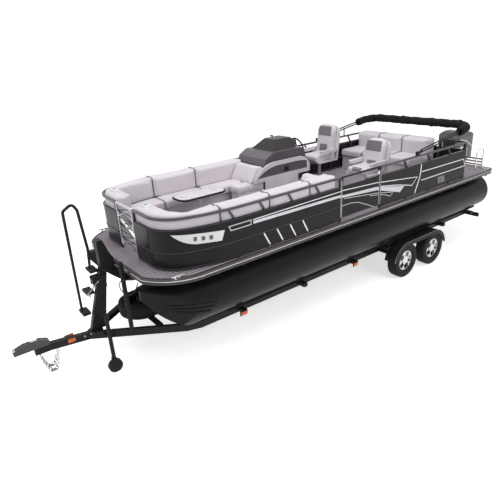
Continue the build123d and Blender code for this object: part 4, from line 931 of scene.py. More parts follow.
@dataclass(frozen=True)
class Studio:
    """The camera, lamps and pale floor."""

    eye: Point = (5.964, -5.650, 4.064)
    azimuth: float = 53.85
    elevation: float = 22.71
    roll: float = -3.53
    lens: float = 33.83
    floor_half: float = 120.0
    floor_glow: float = 0.62
    surround: float = 0.46
    lamps: tuple = (
        ("lamp_over", (1.0, -1.0, 9.0), 9.0, 540.0, True),
        ("lamp_port", (9.0, 1.0, 4.5), 5.0, 220.0, False),
        ("lamp_bow", (1.0, -11.0, 5.0), 5.0, 180.0, False),
    )

    def place_camera(self) -> None:
        """Stands the camera where the photograph was taken from."""
        az, el, roll = (math.radians(a) for a in (self.azimuth, self.elevation, self.roll))
        right = Vector((math.cos(az), math.sin(az), 0))
        back = Vector((math.sin(az) * math.cos(el), -math.cos(az) * math.cos(el), math.sin(el)))
        up = back.cross(right)
        across = right * math.cos(roll) + up * math.sin(roll)
        above = up * math.cos(roll) - right * math.sin(roll)
        turn = Matrix((across, above, back)).transposed().to_4x4()
        bpy.ops.object.camera_add()
        camera = bpy.context.object
        camera.name = "camera"
        camera.matrix_world = Matrix.Translation(Vector(self.eye)) @ turn
        camera.data.lens = self.lens
        camera.data.sensor_width = 36.0
        camera.data.clip_end = 400.0
        bpy.context.scene.camera = camera

    def lamp(self, name: str, place: Point, size: float, power: float, shine: bool) -> None:
        """Adds a soft square lamp that faces the boat.

        Args:
            name: The lamp's name.
            place: Where it hangs.
            size: Its side in metres.
            power: Its power in watts.
            shine: Whether gloss mirrors it.
        """
        bpy.ops.object.light_add(type="AREA", location=place)
        light = bpy.context.object
        light.name = name
        light.data.size = size
        light.data.energy = power
        light.visible_glossy = shine
        aim = Vector((0, 0.3, 1.2)) - Vector(place)
        light.rotation_euler = aim.to_track_quat("-Z", "Y").to_euler()

    @staticmethod
    def seen(tree: Tree) -> Socket:
        """Gives 1 for rays that the camera, gloss or glass sends, and 0 for the rest.

        Args:
            tree: The node tree.

        Returns:
            The socket.
        """
        rays = tree.nodes.new("ShaderNodeLightPath").outputs
        total = rays["Is Camera Ray"]
        for kind in ("Is Glossy Ray", "Is Transmission Ray"):
            total = larger(tree, total, rays[kind])
        return total

    def light(self) -> None:
        """Sets the white surround and the lamps."""
        scene = bpy.context.scene
        scene.view_settings.view_transform = "Standard"
        world = bpy.data.worlds.new("surround")
        scene.world = world
        world.use_nodes = True
        tree = world.node_tree
        plain = tree.nodes["Background"]
        plain.inputs["Strength"].default_value = self.surround
        white = tree.nodes.new("ShaderNodeBackground")
        white.inputs["Strength"].default_value = 1.0
        for node in (plain, white):
            node.inputs["Color"].default_value = (1, 1, 1, 1)
        mix = tree.nodes.new("ShaderNodeMixShader")
        tree.links.new(self.seen(tree), mix.inputs["Fac"])
        tree.links.new(plain.outputs["Background"], mix.inputs[1])
        tree.links.new(white.outputs["Background"], mix.inputs[2])
        tree.links.new(mix.outputs["Shader"], tree.nodes["World Output"].inputs["Surface"])
        for row in self.lamps:
            self.lamp(*row)

    def floor(self) -> None:
        """Lays the pale floor, white to the camera and grey only in the shadow."""
        bpy.ops.mesh.primitive_plane_add(size=2 * self.floor_half, location=(0, 0, -0.001))
        floor = bpy.context.object
        floor.name = "studio_floor"
        paint(floor, Finish("floor_pale", (0.93, 0.93, 0.93), 0.9, wander=0.0))
        tree = floor.data.materials[0].node_tree
        shader = tree.nodes["Principled BSDF"]
        shader.inputs["Emission Color"].default_value = (1, 1, 1, 1)
        glow = tree.nodes.new("ShaderNodeMath")
        glow.operation = "MULTIPLY"
        glow.inputs[1].default_value = self.floor_glow
        tree.links.new(self.seen(tree), glow.inputs[0])
        tree.links.new(glow.outputs["Value"], shader.inputs["Emission Strength"])
        shader.inputs["Specular IOR Level"].default_value = 0.1


# Plan and outlines


@dataclass(frozen=True)
class CockpitPlan:
    """The fence in plan: straight sides that bend in slightly, then turn round the bow's corners.

    Bend is the (x, y) where the side's long bend ends, and corner is the x where the round corner ends.
    """

    half: float = 1.235
    bend_start: float = -2.320
    bend: Flat = (1.105, -3.080)
    corner: float = 0.690
    bow: float = -3.390
    corner_reach: float = 0.6

    def arcs(self) -> tuple[Vector, float, Vector, float, float]:
        """Works out the long bend and the corner from the points that they pass.

        Returns:
            The long bend's centre and radius, the corner's centre and radius, and the angle where they meet.
        """
        bend = Vector(self.bend)
        wide = (self.half - bend.x, self.bend_start - bend.y)
        long_radius = (wide[0] ** 2 + wide[1] ** 2) / (2 * wide[0])
        long_centre = Vector((self.half - long_radius, self.bend_start))
        inward = (long_centre - bend).normalized()
        chord = Vector((self.corner, self.bow)) - bend
        radius = chord.length_squared / (2 * chord.dot(inward))
        turn = math.atan2(bend.y - long_centre.y, bend.x - long_centre.x)
        return long_centre, long_radius, bend + inward * radius, radius, turn

    def depth(self, place: Vector) -> float:
        """Measures how far a point lies inside the fence's outer face.

        Args:
            place: The point.

        Returns:
            The distance in metres.
        """
        long_centre, long_radius, centre, radius, turn = self.arcs()
        flat = Vector((abs(place.x), place.y))
        if flat.y > self.bend_start:
            return self.half - flat.x
        if flat.x < centre.x and flat.y < centre.y + self.corner_reach:
            return flat.y - self.bow
        away = flat - centre
        if away.y < 0 and math.atan2(away.y, away.x) < turn:
            return radius - away.length
        return long_radius - (flat - long_centre).length

    def route(
        self, side: Side, inset: float, height: float, aft: float, inner: float, steps: int = 12,
    ) -> list[Point]:
        """Follows one side of the plan from aft, round the corner, to the bow.

        Args:
            side: The side of the boat.
            inset: How far inside the fence's outer face the route runs.
            height: Its z.
            aft: The y where it starts.
            inner: The x where it ends.
            steps: Points on each of the two curves.

        Returns:
            The route's points.
        """
        long_centre, long_radius, centre, radius, turn = self.arcs()
        flat = [Vector((self.half - inset, aft))]
        for middle, size, first, last in (
            (long_centre, long_radius - inset, 0.0, turn),
            (centre, radius - inset, turn, -math.pi / 2),
        ):
            for step in range(steps + 1):
                angle = first + (last - first) * step / steps
                flat.append(middle + Vector((math.cos(angle), math.sin(angle))) * size)
        flat.append(Vector((inner, self.bow + inset)))
        ahead = [p for p in flat[1:] if p.y < aft]
        return [(side.value * p.x, p.y, height) for p in flat[:1] + ahead]


def ribbon(route: Sequence[Flat], width: float, closed: bool = False) -> list[Flat]:
    """Widens a flat route to a mitred band.

    Args:
        route: The (y, z) points of its middle line.
        width: The band's width.
        closed: Whether the last point joins the first.

    Returns:
        The band's outline. A closed band is cut open at its first corner.
    """
    points = [Vector(p) for p in route]
    if closed:
        points = points + points[:1]
    edges = [(b - a).normalized() for a, b in zip(points, points[1:])]
    left, right = [], []
    for index, point in enumerate(points):
        before = edges[index - 1] if index or closed else edges[0]
        after = edges[index % len(edges)] if index < len(edges) or closed else edges[-1]
        middle = (before + after).normalized() if (before + after).length > 0.01 else after
        normal = Vector((-middle.y, middle.x))
        reach = width / 2 / max(0.5, normal.dot(Vector((-after.y, after.x))))
        left.append(point + normal * reach)
        right.append(point - normal * reach)
    return [tuple(p) for p in left + right[::-1]]


# Side graphics


@dataclass(frozen=True)
class Zone:
    """A stretch of one side that carries graphics, between two stations on one face and body."""

    fore: float
    aft: float
    face: float
    body: str
    word: str


@dataclass
class SideGraphics:
    """The silver stripes, wings and slanted bars on the side panels.

    Each line is its (y, z) points, its width and whether it is closed.
    """

    side: Side
    lift: float = 0.0012
    band: tuple = (
        (-2.112, 1.967), (-2.112, 2.009), (-0.45, 1.992), (-0.343, 1.970), (0.424, 1.937),
        (1.179, 1.800), (1.068, 1.713), (0.446, 1.879), (-0.342, 1.932), (-0.458, 1.950),
    )
    silver_lines: tuple = (
        (((-2.505, 2.030), (-2.150, 2.030), (-2.150, 1.968), (-2.478, 1.968)), 0.012, True),
        (((-0.342, 1.912), (0.450, 1.830), (0.869, 1.757), (0.815, 1.702), (0.562, 1.785),
          (0.28, 1.822)), 0.009, False),
        (((-0.39, 1.803), (-0.175, 1.806), (-0.005, 1.778), (0.208, 1.692), (0.40, 1.606)), 0.009, False),
    )
    white_lines: tuple = (
        (((-2.118, 2.026), (-0.459, 2.044), (-0.362, 2.048), (0.437, 2.006), (1.546, 1.887), (1.408, 1.763),
          (0.974, 1.859), (0.551, 1.924)), 0.013, False),
        (((1.643, 2.100), (1.643, 2.020), (1.622, 1.867), (1.497, 1.586)), 0.024, False),
        (((1.665, 1.955), (3.035, 1.946), (3.100, 1.806), (1.680, 1.801)), 0.015, False),
    )
    bar_feet: tuple = (-1.835, -1.600, -1.354, -1.110)
    bar_lean: float = -0.105
    bar_low: float = 1.584
    bar_high: float = 1.785
    tick_first: float = 2.20
    tick_pitch: float = 0.045
    tick_count: int = 5
    tick_foot: Flat = (0.05, 1.625)
    tick_head: float = 1.755
    tick_width: float = 0.010
    bar_width: float = 0.022
    aft_end: float = 3.13
    zones: tuple[Zone, ...] = ()

    def __post_init__(self) -> None:
        """Finds the stretches of the side that carry graphics."""
        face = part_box("panels_front")[1][0]
        if self.side is Side.PORT:
            low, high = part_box("side_gate")
            sheet = high[0]
            self.zones = (
                Zone(-3.0, -0.402, face, "root", "fore"),
                Zone(low[1] + 0.004, high[1] - 0.008, sheet, "side_gate", "gate"),
                Zone(0.533, self.aft_end, face, "root", "aft"),
            )
        else:
            self.zones = (Zone(-3.0, self.aft_end, face, "root", "side"),)

    def lay(self, name: str, outlines: Iterable[Sequence[Flat]], finish: Finish) -> None:
        """Lays flat outlines on every zone that they reach, cut to the zone.

        Args:
            name: The pieces' name.
            outlines: The (y, z) outlines.
            finish: Their finish.
        """
        for zone in self.zones:
            near = [
                outline for outline in outlines
                if min(p[0] for p in outline) < zone.aft and max(p[0] for p in outline) > zone.fore
            ]
            pieces = []
            for outline in near:
                x = self.side.value * (zone.face - self.lift)
                push = (self.side.value * 2 * self.lift, 0, 0)
                pieces.append(plate(name, [(x, y, z) for y, z in outline], push))
            if not pieces:
                continue
            piece = join(f"{name}_{self.side.word}_{zone.word}", pieces)
            cut(piece, (0, zone.fore, 0), (0, -1, 0))
            cut(piece, (0, zone.aft, 0), (0, 1, 0))
            keep(piece, finish, zone.body)

    def build(self) -> None:
        """Lays the silver band and its outlines, then the white lines and bars."""
        silver = [self.band] + [ribbon(route, width, closed) for route, width, closed in self.silver_lines]
        for index in range(self.tick_count):
            y = self.tick_first + index * self.tick_pitch
            foot = (y + self.tick_foot[0], self.tick_foot[1])
            silver.append(ribbon(((y, self.tick_head), foot), self.tick_width))
        self.lay("stripe_silver", silver, Finishes.stripe)
        white = [ribbon(route, width, closed) for route, width, closed in self.white_lines]
        for foot in self.bar_feet:
            slant = ((foot + self.bar_lean, self.bar_high), (foot, self.bar_low))
            white.append(ribbon(slant, self.bar_width))
        self.lay("stripe_white", white, Finishes.stripe_white)


# Fence and deck trim


@dataclass
class FenceTrim:
    """The mouldings that run round the panels, the lamps' lenses, the painted highlights on the post edges
    and the gates' latches.

    Each post's row is its body, the x of its face and the y of its two edges, each lens is its y and z,
    and each latch is its name, its two corners and its body.
    """

    plan: CockpitPlan = field(default_factory=CockpitPlan)
    moulding_height: float = 1.803
    foot_height: float = 1.594
    head_height: float = 2.106
    inner: float = 0.296
    aft: float = -0.404
    moulding_radius: float = 0.0065
    foot_radius: float = 0.0045
    proud: float = 0.002
    gate_end: float = 0.535
    aft_end: float = 3.13
    post_rows: tuple = (("root", 1.235, (-0.415, 0.532)), ("side_gate", 1.229, (-0.390, 0.503)))
    post_low: float = 1.62
    post_high: float = 2.21
    post_half: float = 0.004
    lens_places: tuple = ((-2.96, 1.968), (-2.86, 1.957), (-2.76, 1.948))
    lens_half: float = 0.027
    lens_proud: float = 0.0095
    lens_route: tuple = (1.955, -2.4, 0.9, 24)
    latch_rows: tuple = (
        ("latch_bow", (0.236, -3.395, 1.93), (0.262, -3.383, 2.02), "bow_gate"),
        ("latch_side", (1.224, 0.455, 2.14), (1.236, 0.500, 2.20), "side_gate"),
        ("latch_stern", (0.665, 3.135, 2.12), (0.700, 3.147, 2.20), "stern_gate"),
    )

    def posts(self) -> None:
        """Lays bright strips on the edges of the side gate and the posts beside it, as painted highlights
        along those edges.
        """
        for body, x, stations in self.post_rows:
            strips = []
            for y in stations:
                # Each strip is a painted highlight: a bright band where the edge catches the light.
                low = (x - 0.002, y - self.post_half, self.post_low)
                high = (x + 0.004, y + self.post_half, self.post_high)
                strips.append(block("edge", low, high, 0.001))
            keep(join(f"post_edges_{body}", strips), Finishes.stripe, body)

    def build(self) -> None:
        """Runs the mouldings, then fits the lenses, the painted highlights on the post edges and the latches.
        """
        for side in Side:
            runs = []
            for height, radius in (
                (self.moulding_height, self.moulding_radius),
                (self.foot_height, self.foot_radius),
                (self.head_height, self.foot_radius),
            ):
                route = self.plan.route(side, -self.proud, height, self.aft, self.inner)
                runs.append(tube("moulding", route, radius))
                fore = self.gate_end if side is Side.PORT else self.aft
                x = side.value * (self.plan.half + self.proud)
                if height != self.moulding_height:
                    runs.append(tube("moulding", [(x, fore, height), (x, self.aft_end, height)], radius))
            keep(join(f"fence_mouldings_{side.word}", runs), Finishes.anodised)
            self.lenses(side)
        self.posts()
        self.latches()

    def lenses(self, side: Side) -> None:
        """Sets three dark lenses into the docking lamp of one side.

        Args:
            side: The side of the boat.
        """
        near = self.plan.route(side, -self.lens_proud, *self.lens_route)
        cells = []
        for y, height in self.lens_places:
            below = max((p for p in near if p[1] <= y), key=lambda p: p[1])
            above = min((p for p in near if p[1] > y), key=lambda p: p[1])
            share = (y - below[1]) / (above[1] - below[1])
            x = below[0] + share * (above[0] - below[0])
            reach = Vector((0.004, self.lens_half, self.lens_half))
            middle = Vector((x, y, height))
            cells.append(block("lens", middle - reach, middle + reach, 0.003))
        keep(join(f"docking_lenses_{side.word}", cells), Finishes.lens_dark)

    def latches(self) -> None:
        """Adds a latch to each gate's free edge."""
        for name, low, high, body in self.latch_rows:
            keep(block(name, low, high, 0.004), Finishes.steel, body)


@dataclass
class DeckTrim:
    """The bead in the rub rail, and the cleats: each is its x, its y and whether it lies across the boat."""

    bead_height: float = 1.517
    bead_radius: float = 0.0075
    cleat_radius: float = 0.009
    cleat_half: float = 0.085
    cleat_height: float = 0.032
    cleats: tuple = ((1.20, -3.30, False), (-1.20, -3.30, False), (1.18, 4.02, True), (-1.18, 4.02, True))

    def build(self) -> None:
        """Adds the bead, then the cleats."""
        loops = section("rub_rail", "rub_bead", (0, 0, self.bead_height), (0, 0, 1))
        scrap(loops[1:])
        keep(round_off(loops[0], self.bead_radius), Finishes.bead)
        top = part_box("deck_floor")[1][2]
        pieces = []
        for x, y, across in self.cleats:
            reach = Vector((self.cleat_half, 0, 0)) if across else Vector((0, self.cleat_half, 0))
            middle = Vector((x, y, top + self.cleat_height))
            horn = [middle + reach * share for share in (-1, -0.5, 0.5, 1)]
            pieces.append(tube("cleat", horn, self.cleat_radius))
            for share in (-0.35, 0.35):
                foot = middle + reach * share
                head = (foot.x, foot.y, top + 0.03)
                pieces.append(rod("cleat", (foot.x, foot.y, top), head, self.cleat_radius))
            low = middle - reach * 0.6 - Vector((0.014, 0.014, self.cleat_height))
            pieces.append(block("cleat", low, middle + reach * 0.6 + Vector((0.014, 0.014, -0.027)), 0.002))
        keep(join("cleats", pieces), Finishes.steel)


# Upholstery


Cut = tuple[Point, Point]


@dataclass
class Cushion:
    """A padded piece on its way through the simulation.

    Cuts are its seams, as a point and an outward normal each, and swell is how far its faces may rise.
    """

    piece: Piece
    nodes: tuple[str, ...]
    body: str
    finish: Finish
    cuts: tuple[Cut, ...] = ()
    swell: float = 0.014
    fill: float = 0.7
    rest: list[Vector] = field(default_factory=list)


@dataclass
class Padding:
    """Swells all the cushions together in one cloth simulation."""

    cushions: list[Cushion] = field(default_factory=list)
    voxel: float = 0.015
    pinch: float = 0.07
    tuck: float = 0.003
    pressure: float = 4.0
    last_frame: int = 20

    def add(self, cushion: Cushion, voxel: float = 0.0) -> None:
        """Remeshes a cushion evenly and queues it.

        Args:
            cushion: The cushion.
            voxel: The size of its mesh cells, or zero for the usual one.
        """
        modify(cushion.piece, "REMESH", mode="VOXEL", voxel_size=voxel or self.voxel, adaptivity=0.0)
        cushion.rest = [v.co.copy() for v in cushion.piece.data.vertices]
        self.cushions.append(cushion)

    def swollen(self, cushion: Cushion) -> list[Vector]:
        """Gives where the cushion's points want to go.

        Args:
            cushion: The cushion, after the simulation.

        Returns:
            The wanted places.
        """
        pick(cushion.piece)
        bpy.ops.object.modifier_apply(modifier=cushion.piece.modifiers[-1].name)
        return [v.co.copy() for v in cushion.piece.data.vertices]

    def cap(self, cushion: Cushion, wanted: Sequence[Vector]) -> None:
        """Moves each point towards its wanted place, less where it is near a seam.

        Args:
            cushion: The cushion.
            wanted: Where its points want to go.
        """
        places = []
        for (_, normal), rest, goal in zip(points_of(cushion.piece), cushion.rest, wanted):
            move = goal - rest
            length = move.length
            gaps = (abs((Vector(place) - rest).dot(Vector(away))) for place, away in cushion.cuts)
            near = min(gaps, default=1.0)
            ease = min(1.0, near / self.pinch)
            ease = ease * ease * (3 - 2 * ease)
            rise = cushion.swell * math.tanh(length / cushion.swell) if length else 0.0
            shift = move.normalized() * rise * ease if length else Vector()
            places.append(rest + shift - normal * self.tuck * (1 - ease))
        place_points(cushion.piece, places)

    def run(self) -> None:
        """Simulates, applies and finishes every cushion."""
        for cushion in self.cushions:
            cloth = cushion.piece.modifiers.new("swell", "CLOTH")
            cloth.settings.quality = 3
            cloth.settings.use_pressure = True
            cloth.settings.uniform_pressure_force = self.pressure
            cloth.settings.effector_weights.gravity = 0.0
            cloth.collision_settings.use_collision = False
            cloth.point_cache.frame_end = self.last_frame
        for frame_number in range(1, self.last_frame + 1):
            bpy.context.scene.frame_set(frame_number)
        for cushion in self.cushions:
            self.cap(cushion, self.swollen(cushion))
            modify(cushion.piece, "SUBSURF", levels=1, render_levels=1)
            keep(cushion.piece, cushion.finish, cushion.body, 180.0)
            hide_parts(*cushion.nodes)
        bpy.context.scene.frame_set(1)


def cut_welt(piece: Piece, place: Point, away: Point, radius: float = 0.0045) -> Piece:
    """Cuts a cushion at a seam and makes the piping that runs round the cut.

    Args:
        piece: The cushion.
        place: A point in the seam.
        away: The seam's normal, towards what goes.
        radius: The piping's radius.

    Returns:
        The piping.
    """
    with editing(piece):
        bpy.ops.mesh.bisect(plane_co=place, plane_no=away, use_fill=True, clear_outer=True)
        bpy.ops.mesh.duplicate()
        bpy.ops.mesh.separate(type="SELECTED")
    loop = [part for part in bpy.context.selected_objects if part is not piece][0]
    with editing(loop):
        bpy.ops.mesh.delete(type="ONLY_FACE")
    return round_off(loop, radius)


def patch(source: Piece, name: str, low: Point, high: Point, facing: Point, lift: float) -> Piece:
    """Lays a thin panel over part of a padded face.

    Args:
        source: The padded piece.
        name: The panel's name.
        low: The lowest corner of the part that it covers.
        high: The highest corner.
        facing: The direction that the covered faces look in.
        lift: How far it stands proud.

    Returns:
        The panel.
    """
    piece = copy_piece(source, name)
    look = Vector(facing)
    keep_faces(
        piece,
        lambda f: all(a <= c <= b for a, c, b in zip(low, f.center, high)) and f.normal.dot(look) > 0.35,
    )
    modify(piece, "SOLIDIFY", thickness=lift + 0.001, offset=1.0)
    return piece


@dataclass
class Lounges:
    """The front lounges, the chaises and the aft lounge, each cut at its seams and padded.

    Each row is its node, its seams' stations, the axis they cross, its swell and whether its top has
    two rolls.
    """

    padding: Padding
    gap: float = 0.003
    roll_inset: float = 0.168
    roll_width: float = 0.030
    roll_depth: float = 0.017
    roll_reach: float = 0.12
    chaise_swell: float = 0.012
    piping_radius: float = 0.006
    back_depth: float = 0.292
    rows: tuple = (
        ("lounge_back_port", (-2.58, -1.78, -1.02), 1, 0.013, True),
        ("lounge_back_starboard", (-2.46, -1.655), 1, 0.013, True),
        ("lounge_seat_port", (-2.58, -1.78), 1, 0.012, False),
        ("lounge_seat_starboard", (-2.46, -1.655), 1, 0.012, False),
        ("aft_lounge_back", (-0.61, -0.02), 0, 0.013, False),
        ("aft_lounge_seat", (-0.61, -0.02), 0, 0.012, False),
    )
    welts: list[Piece] = field(default_factory=list)
    rolls: list[Piece] = field(default_factory=list)

    def row(self, node: str, seams: Sequence[float], axis: int, swell: float, rolled: bool) -> None:
        """Cuts a long cushion into a row.

        Args:
            node: The CAD node.
            seams: The stations of the seams along the axis.
            axis: 0 for seams across X, 1 for seams across Y.
            swell: How far the cushions rise.
            rolled: Whether their tops have a groove between two rolls.
        """
        low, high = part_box(node)
        edges = [low[axis] - 1] + list(seams) + [high[axis] + 1]
        normal = Vector((0, 0, 0))
        normal[axis] = 1
        for index, (start, end) in enumerate(zip(edges, edges[1:])):
            piece = copy_node(node, f"{node}_cushion_{index + 1}")
            cuts = []
            if index:
                place = normal * (start + self.gap)
                cut(piece, place, -normal)
                cuts.append((place, -normal))
            if end in seams:
                place = normal * (end - self.gap)
                self.welts.append(cut_welt(piece, place, normal))
                cuts.append((place, normal))
            self.padding.add(Cushion(piece, (node,), "root", Finishes.pad, tuple(cuts), swell))
            if rolled:
                self.rolls.append(piece)

    def chaises(self) -> None:
        """Splits the chaise pads into their three parts."""
        parts = loose_parts(copy_node("chaise_pads", "chaise_cushion"))
        for index, part in enumerate(sorted(parts, key=lambda p: (p.bound_box[0][0], p.bound_box[0][2]))):
            part.name = part.data.name = f"chaise_cushion_{index + 1}"
            self.padding.add(Cushion(part, ("chaise_pads",), "root", Finishes.pad, (), self.chaise_swell))

    def press_rolls(self) -> None:
        """Presses a groove along the tops of the front backs, between an outer and an inner roll."""
        plan = CockpitPlan()
        for piece in self.rolls:
            points = points_of(piece)
            top = max(place.z for place, _ in points)
            places = []
            for place, normal in points:
                if normal.z > 0.25 and place.z > top - self.roll_reach:
                    off = (plan.depth(place) - self.roll_inset) / self.roll_width
                    place.z -= self.roll_depth * math.exp(-off * off)
                places.append(place)
            place_points(piece, places)

    def build(self) -> None:
        """Queues every cushion and makes the piping between them."""
        for row in self.rows:
            self.row(*row)
        self.chaises()
        self.piping()

    def piping(self) -> None:
        """Joins the seams' piping with the lines between the backs and the seats."""
        plan = CockpitPlan()
        seat_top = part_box("lounge_seat_port")[1][2]
        for side, aft in ((Side.PORT, -0.70), (Side.STARBOARD, -0.88)):
            front = plan.route(side, self.back_depth, seat_top + 0.004, aft, 0.34)
            self.welts.append(tube("welt", front, self.piping_radius))
        keep(join("lounge_piping", self.welts), Finishes.piping)


@dataclass
class Chairs:
    """The two swivelling captain chairs: padded seat, back, head rest and arms.

    Each dark panel is its name, its half width, and its foot and head below the back's top.
    """

    padding: Padding
    voxel: float = 0.011
    swell: float = 0.008
    panels: tuple = (("head", 0.165, 0.21, 0.03), ("lumbar", 0.10, 0.50, 0.37))
    panel_lift: float = 0.002
    lever_radius: float = 0.006
    lever_steps: tuple = ((0.004, -0.22, 0.07), (0.012, -0.30, 0.075), (0.012, -0.36, 0.10))
    pads: dict[str, list[Piece]] = field(default_factory=dict)

    def build(self) -> None:
        """Queues the pads of both chairs."""
        for chair in ("helm_chair", "mate_chair"):
            parts = loose_parts(copy_node(f"{chair}_pads", f"{chair}_pad"))
            self.pads[chair] = parts
            for index, part in enumerate(sorted(parts, key=lambda p: p.bound_box[0][2])):
                part.name = part.data.name = f"{chair}_pad_{index + 1}"
                cushion = Cushion(part, (f"{chair}_pads",), chair, Finishes.pad, (), self.swell)
                self.padding.add(cushion, self.voxel)

    def dress(self) -> None:
        """Lays the dark head and lumbar panels over the backs, and fits the recline levers."""
        for chair, parts in self.pads.items():
            low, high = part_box(f"{chair}_pads")
            middle = (low[0] + high[0]) / 2
            back = max(parts, key=lambda p: max(v.co.z for v in p.data.vertices))
            top = max(v.co.z for v in back.data.vertices)
            for word, reach, foot, head in self.panels:
                corners = (middle - reach, low[1], top - foot), (middle + reach, high[1], top - head)
                piece = patch(back, f"{chair}_{word}_panel", *corners, (0, -1, 0), self.panel_lift)
                keep(piece, Finishes.pad_grey, chair, 180.0)
            low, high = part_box(f"{chair}_shell")
            corner = (high[0], high[1], low[2])
            lever = [tuple(a + b for a, b in zip(corner, step)) for step in self.lever_steps]
            keep(tube(f"{chair}_lever", lever, self.lever_radius), Finishes.steel, chair)


# Helm and table


@dataclass
class Helm:
    """What is fitted to the helm: gauges, switches, throttle, wheel cap, trim panel and display."""

    gauge_x: tuple = (-0.965, -0.865, -0.535)
    gauge_radius: float = 0.038
    face: Point = (-0.70, 0.36, 2.3325)
    axis: Point = (0.0, 0.97185, 0.2356)
    cap_radius: float = 0.040
    hub_reach: float = 0.110
    switch_count: int = 5
    switch_first: float = -0.82
    switch_pitch: float = 0.06
    switch_half: float = 0.012
    throttle_x: float = -1.095
    throttle_half: float = 0.030
    recess_x: float = -0.3115
    recess_reach: float = 0.001
    trim_wall: float = 0.003

    def gauges(self) -> None:
        """Sets round gauges into the raked face, with bright bezels and pale dials, and a row of switches."""
        axis = Vector(self.axis)
        rims, dials = [], []
        for x in self.gauge_x:
            centre = Vector((x, self.face[1], self.face[2]))
            rims.append(
                rod("bezel", centre - axis * 0.004, centre + axis * 0.010, self.gauge_radius, 0.003, 28),
            )
            dials.append(
                rod("dial", centre + axis * 0.002, centre + axis * 0.0112, self.gauge_radius * 0.82,
                    0.001, 28),
            )
        keep(join("gauge_bezels", rims), Finishes.steel)
        keep(join("gauge_dials", dials), Finishes.dial)
        keys = []
        for index in range(self.switch_count):
            x = self.switch_first + index * self.switch_pitch
            keys.append(
                block("switch", (x - self.switch_half, 0.30, 2.424),
                      (x + self.switch_half, 0.33, 2.438), 0.003),
            )
        keep(join("dash_switches", keys), Finishes.rubber)

    def throttle(self) -> None:
        """Stands the throttle on the shelf beside the wheel."""
        x, half = self.throttle_x, self.throttle_half
        base = block("throttle_base", (x - half, 0.17, 2.40), (x + half, 0.30, 2.47), 0.012, 3)
        arm = tube("throttle_arm", ((x, 0.235, 2.46), (x, 0.215, 2.53), (x, 0.19, 2.575)), 0.008)
        keep(join("throttle", [base, arm]), Finishes.moulding_dark)
        grip = rod("throttle_grip", (x - 0.035, 0.188, 2.58), (x + 0.035, 0.188, 2.58), 0.014, 0.005)
        keep(grip, Finishes.rubber)

    def wheel(self) -> None:
        """Adds the wheel's boss cap."""
        axis = Vector(self.axis)
        hub = Vector(self.face) + axis * self.hub_reach
        cap = rod("wheel_cap", hub - axis * 0.004, hub + axis * 0.010, self.cap_radius, 0.004, 28)
        keep(cap, Finishes.steel, "steering_wheel")

    def side_trim(self) -> None:
        """Lines the recess of the white side moulding with a dark speckled panel and a small speaker."""
        piece = copy_node("lounge_bases", "helm_trim_panel")
        keep_faces(piece, lambda f: f.normal.x > 0.9 and abs(f.center.x - self.recess_x) < self.recess_reach)
        modify(piece, "SOLIDIFY", thickness=self.trim_wall, offset=1.0)
        keep(piece, Finishes.speckle)
        keep(block("helm_speaker", (-0.310, -0.20, 2.09), (-0.300, -0.10, 2.17), 0.004), Finishes.rubber)

    def display(self) -> None:
        """Sets the display under the visor's aft edge."""
        low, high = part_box("windscreen")
        foot = (-0.90, high[1] - 0.075, low[2] + 0.012)
        screen = block("display", foot, (-0.62, high[1] - 0.060, low[2] + 0.085), 0.004)
        keep(screen, Finishes.screen)

    def build(self) -> None:
        """Fits everything."""
        self.gauges()
        self.throttle()
        self.wheel()
        self.side_trim()
        self.display()


@dataclass
class Table:
    """The cocktail table's dark edge and cup rings, and the cup holders on the lounges' corners."""

    edge: float = 0.017
    edge_depth: float = 0.016
    cup_radius: float = 0.043
    cup_inset: float = 0.13
    holder_places: tuple = ((-0.70, -3.20), (0.43, -3.24))
    holder_half: tuple[float, float] = (0.055, 0.045)
    holder_low: float = 2.20
    holder_top: float = 2.322

    def build(self) -> None:
        """Rolls the edge round the top, lays two cup rings in it and adds the corner holders."""
        low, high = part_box("table")
        loops = section("table", "table_edge", (0, 0, high[2] - self.edge_depth), (0, 0, 1))
        scrap(loops[1:])
        keep(round_off(loops[0], self.edge, 12), Finishes.rubber)
        cups = []
        x, top = (low[0] + high[0]) / 2, high[2]
        for y in (low[1] + self.cup_inset, high[1] - self.cup_inset):
            profile = ((x + 0.03, y, top + 0.0005), (x + self.cup_radius, y, top + 0.003),
                       (x + self.cup_radius + 0.008, y, top + 0.001))
            cups.append(lathe("cup_ring", profile, (x, y, top), (0, 0, 1), 28))
        keep(join("table_cup_rings", cups), Finishes.steel)
        self.holders()

    def holders(self) -> None:
        """Sets a white cup holder with a lit ring on each lounge's corner by the bow gate."""
        pods, rings = [], []
        reach_x, reach_y = self.holder_half
        for x, y in self.holder_places:
            low = (x - reach_x, y - reach_y, self.holder_low)
            high = (x + reach_x, y + reach_y, self.holder_top)
            pods.append(block("pod", low, high, 0.012, 3))
            rings.append(
                rod("ring", (x, y, self.holder_top - 0.007), (x, y, self.holder_top + 0.004),
                    0.026, 0.003, 24),
            )
        keep(join("corner_holders", pods), Finishes.lamp_white)
        keep(join("corner_holder_lights", rings), Finishes.teal)


# Folded top


